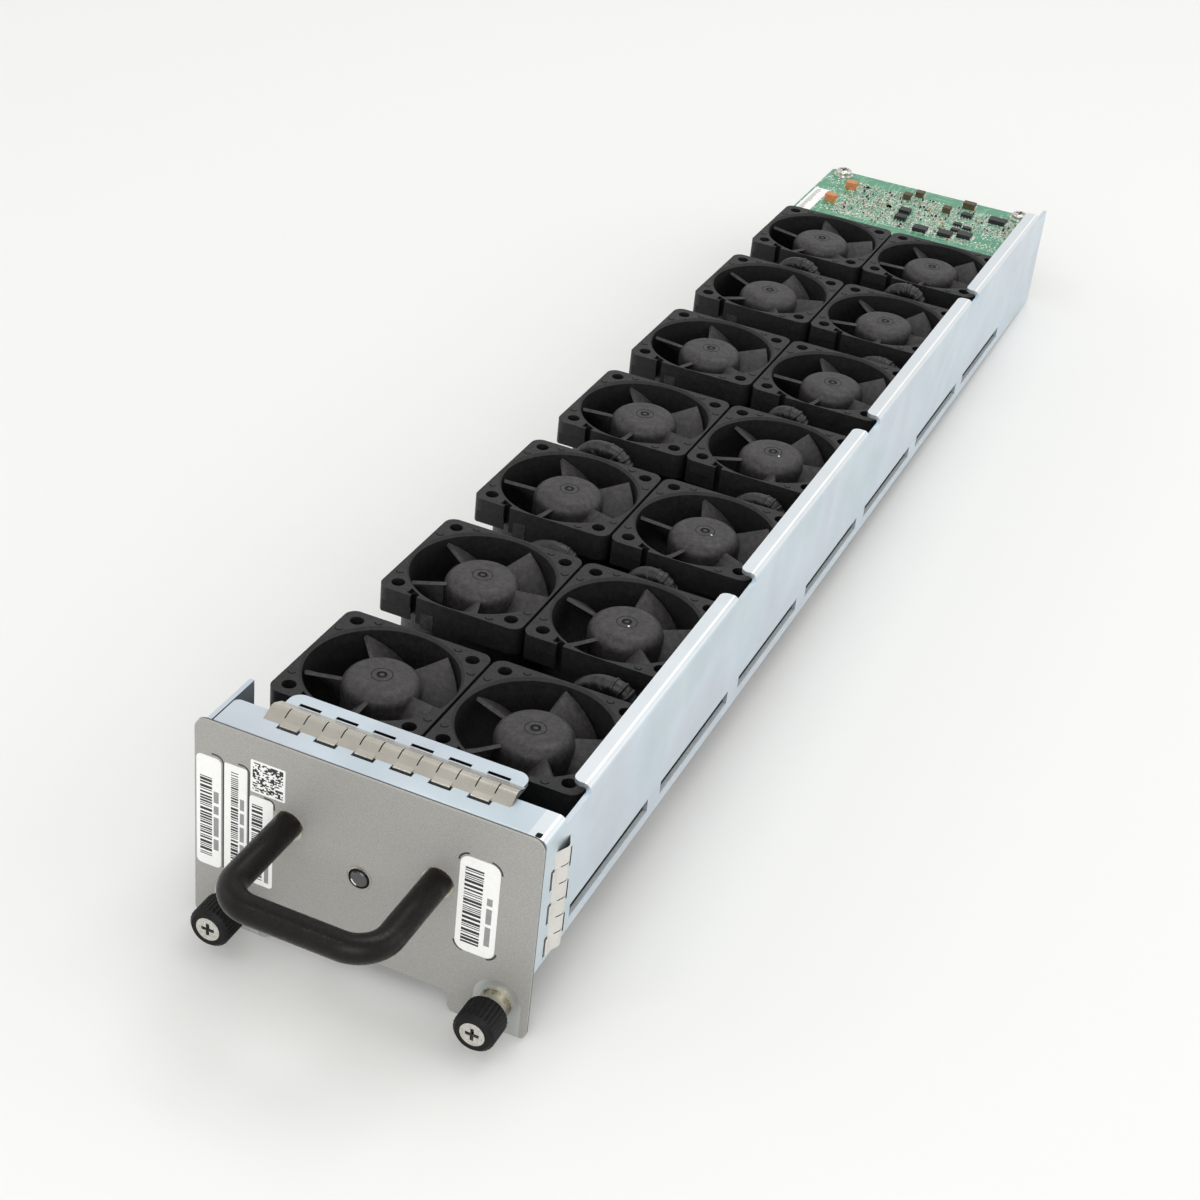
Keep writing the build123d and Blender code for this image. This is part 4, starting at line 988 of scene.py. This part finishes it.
# the board's small parts: legs and solder tabs, passives in rows, pads, printed lines, a paper strip
chips = {
    "top": 31.5,
    "field": (-27.5, 36.5, 391.5, 424.5),
    "clear": ((-36, -22, 383, 391.5), (24, 41, 383, 405)),
    # chips and end-capped parts: middle x, middle y, size x, size y
    "power": ((6.3, 394.9, 5, 4), (15.3, 396.2, 5, 4), (28.5, 419.8, 6, 4), (21.8, 399.2, 5, 4)),
    "small": ((16.7, 407.9, 3, 2), (20.7, 406.3, 3, 2), (17.4, 402.1, 3, 2), (17.2, 418.2, 4, 2.5),
              (-3.4, 407.4, 4, 3.5), (-2.9, 400.6, 4, 3.5)),
    "ends": ((-27.7, 417.9, 4.2, 3.2), (-30.3, 401.6, 4.2, 3.2), (-6.8, 421.6, 3, 3), (-3.4, 426.6, 3, 3),
             (9.5, 418.3, 3, 3), (15.6, 427.2, 4.5, 3)),
    # tab on a power chip, cap on an end: half width as a share of the side, reach, height, corner
    "tab": (0.42, 1.3, 0.25, 0.1), "cap": (0.42, 0.5, 1.1, 0.1),
    # legs: their places as shares of the side, half width, reach, height, corner
    "powerLegs": ((-0.3, 0.3), 0.35, 1.1, 0.3, 0.1), "smallLegs": ((-0.3, 0.0, 0.3), 0.2, 0.7, 0.25, 0.05),
    # how many are tried, the room each needs to a chip, and its sizes
    "pads": (2600, 0.6, ((0.5, 0.5), (0.4, 0.4), (0.9, 0.4), (0.4, 0.8))), "padHigh": 0.06,
    "passives": (380, 1.0, ((1.0, 0.5), (0.5, 1.0), (1.6, 0.8), (0.5, 1.0))),
    "grid": (0.8, 0.9), "tall": (0.3, 0.5, 0.7), "kinds": (1, 2, 2, 3),
    "body": 0.28, "endAt": 0.39, "endSize": (0.14, 0.3), "endHigh": 0.95,  # shares of a passive's sizes
    "lines": (260, 1.0, ((1.8, 0.14), (0.14, 1.8), (1.0, 0.14), (0.14, 1.0))), "lineHigh": 0.03,
    "strip": (-39.2, -33.8, 385.0, 410.5), "stripHigh": 0.1, "stripCorner": 0.3,
    # print on the strip: lines, inset, start, pitch, range of lengths, width, height
    "stripPrint": (26, 1.0, 1.2, 0.9, (1.2, 2.0), 0.3, 0.015),
}


# a block that stands on the board
def addOnBoard(bm, left, right, front, rear, high, material=0, corner=0.0):
    top = chips["top"]
    addBlock(bm, (left, front, top), (right, rear, top + high), material, corner, 2)


def hasRoom(x, y, room):
    for chipX, chipY, dx, dy in chips["power"] + chips["small"] + chips["ends"]:
        if abs(x - chipX) < dx / 2 + room and abs(y - chipY) < dy / 2 + room:
            return False
    return not any(x0 < x < x1 and y0 < y < y1 for x0, x1, y0, y1 in chips["clear"])


def randomSpot(chance):
    left, right, front, rear = chips["field"]
    return chance.uniform(left, right), chance.uniform(front, rear)


def addLegs(bm):
    share, reach, high, corner = chips["tab"]
    spots, half, legReach, legHigh, legCorner = chips["powerLegs"]
    for x, y, dx, dy in chips["power"]:
        addOnBoard(bm, x + dx / 2, x + dx / 2 + reach, y - dy * share, y + dy * share, high, 0, corner)
        for step in spots:
            addOnBoard(bm, x - dx / 2 - legReach, x - dx / 2, y + dy * step - half, y + dy * step + half, legHigh,
                       0, legCorner)
    spots, half, reach, high, corner = chips["smallLegs"]
    for x, y, dx, dy in chips["small"]:
        for step in spots:
            for end in (-1, 1):
                front, rear = sorted((y + end * dy / 2, y + end * (dy / 2 + reach)))
                addOnBoard(bm, x + dx * step - half, x + dx * step + half, front, rear, high, 0, corner)
    share, reach, high, corner = chips["cap"]
    for x, y, dx, dy in chips["ends"]:
        for end in (-1, 1):
            left, right = sorted((x + end * dx / 2, x + end * (dx / 2 + reach)))
            addOnBoard(bm, left, right, y - dy * share, y + dy * share, high, 0, corner)


def makeBoardSolder(chance):
    bm = bmesh.new()
    addLegs(bm)
    tries, room, sizes = chips["pads"]
    for step in range(tries):
        x, y = randomSpot(chance)
        if hasRoom(x, y, room):
            wide, deep = chance.choice(sizes)
            addOnBoard(bm, x - wide / 2, x + wide / 2, y - deep / 2, y + deep / 2, chips["padHigh"])
    makePiece(bm, "board_solder", "solder")


def makeBoardPassives(chance):
    bm = bmesh.new()
    tries, room, sizes = chips["passives"]
    gridX, gridY = chips["grid"]
    body, endAt, (endLong, endWide) = chips["body"], chips["endAt"], chips["endSize"]
    for step in range(tries):
        x, y = randomSpot(chance)
        x, y = round(x * gridX) / gridX, round(y * gridY) / gridY
        if hasRoom(x, y, room):
            wide, deep = chance.choice(sizes)
            tall = chance.choice(chips["tall"])
            addOnBoard(bm, x - wide * body, x + wide * body, y - deep * body, y + deep * body, tall,
                       chance.choice(chips["kinds"]))
            lying = wide > deep
            along = Vector((wide * endAt, 0, 0)) if lying else Vector((0, deep * endAt, 0))
            small = Vector((wide * (endLong if lying else endWide), deep * (endWide if lying else endLong), 0))
            for end in (-1, 1):
                centre = Vector((x, y, chips["top"])) + along * end
                addBlock(bm, centre - small, centre + small + Vector((0, 0, tall * chips["endHigh"])), 0)
    makePiece(bm, "board_passives", "solder chip_epoxy ceramic resistor")


def makeBoardPrint(chance):
    bm = bmesh.new()
    tries, room, sizes = chips["lines"]
    for step in range(tries):
        x, y = randomSpot(chance)
        if hasRoom(x, y, room):
            wide, deep = chance.choice(sizes)
            addOnBoard(bm, x, x + wide, y, y + deep, chips["lineHigh"])
    makePiece(bm, "board_printed_lines", "whiteInk")
    bm = bmesh.new()
    left, right, front, rear = chips["strip"]
    addOnBoard(bm, left, right, front, rear, chips["stripHigh"], 0, chips["stripCorner"])
    face = chips["top"] + chips["stripHigh"]
    count, inset, start, pitch, lengths, wide, high = chips["stripPrint"]
    for step in range(count):
        y = front + start + step * pitch
        x = left + inset
        addBlock(bm, (x, y, face), (x + chance.uniform(*lengths), y + wide, face + high), 1)
    makePiece(bm, "board_paper_strip", "label print")


def makeBoardParts():
    chance = random.Random(11)
    makeBoardSolder(chance)
    makeBoardPassives(chance)
    makeBoardPrint(chance)


makeLabels()
makePanelMarks()
makeRims()
makeLens()
makeGasketSlotShade()
makeSlotShade()
makeRecessShade()
print("panel's labels, marks and rims made")
makeHubMarks()
makeFrameMarks()
makeBaseStickers()
makeFolds()
print("fan marks and sleeve gathers made")
makeThreads()
makeCoils()
makeBoardParts()
print("threads, coils and board parts made")
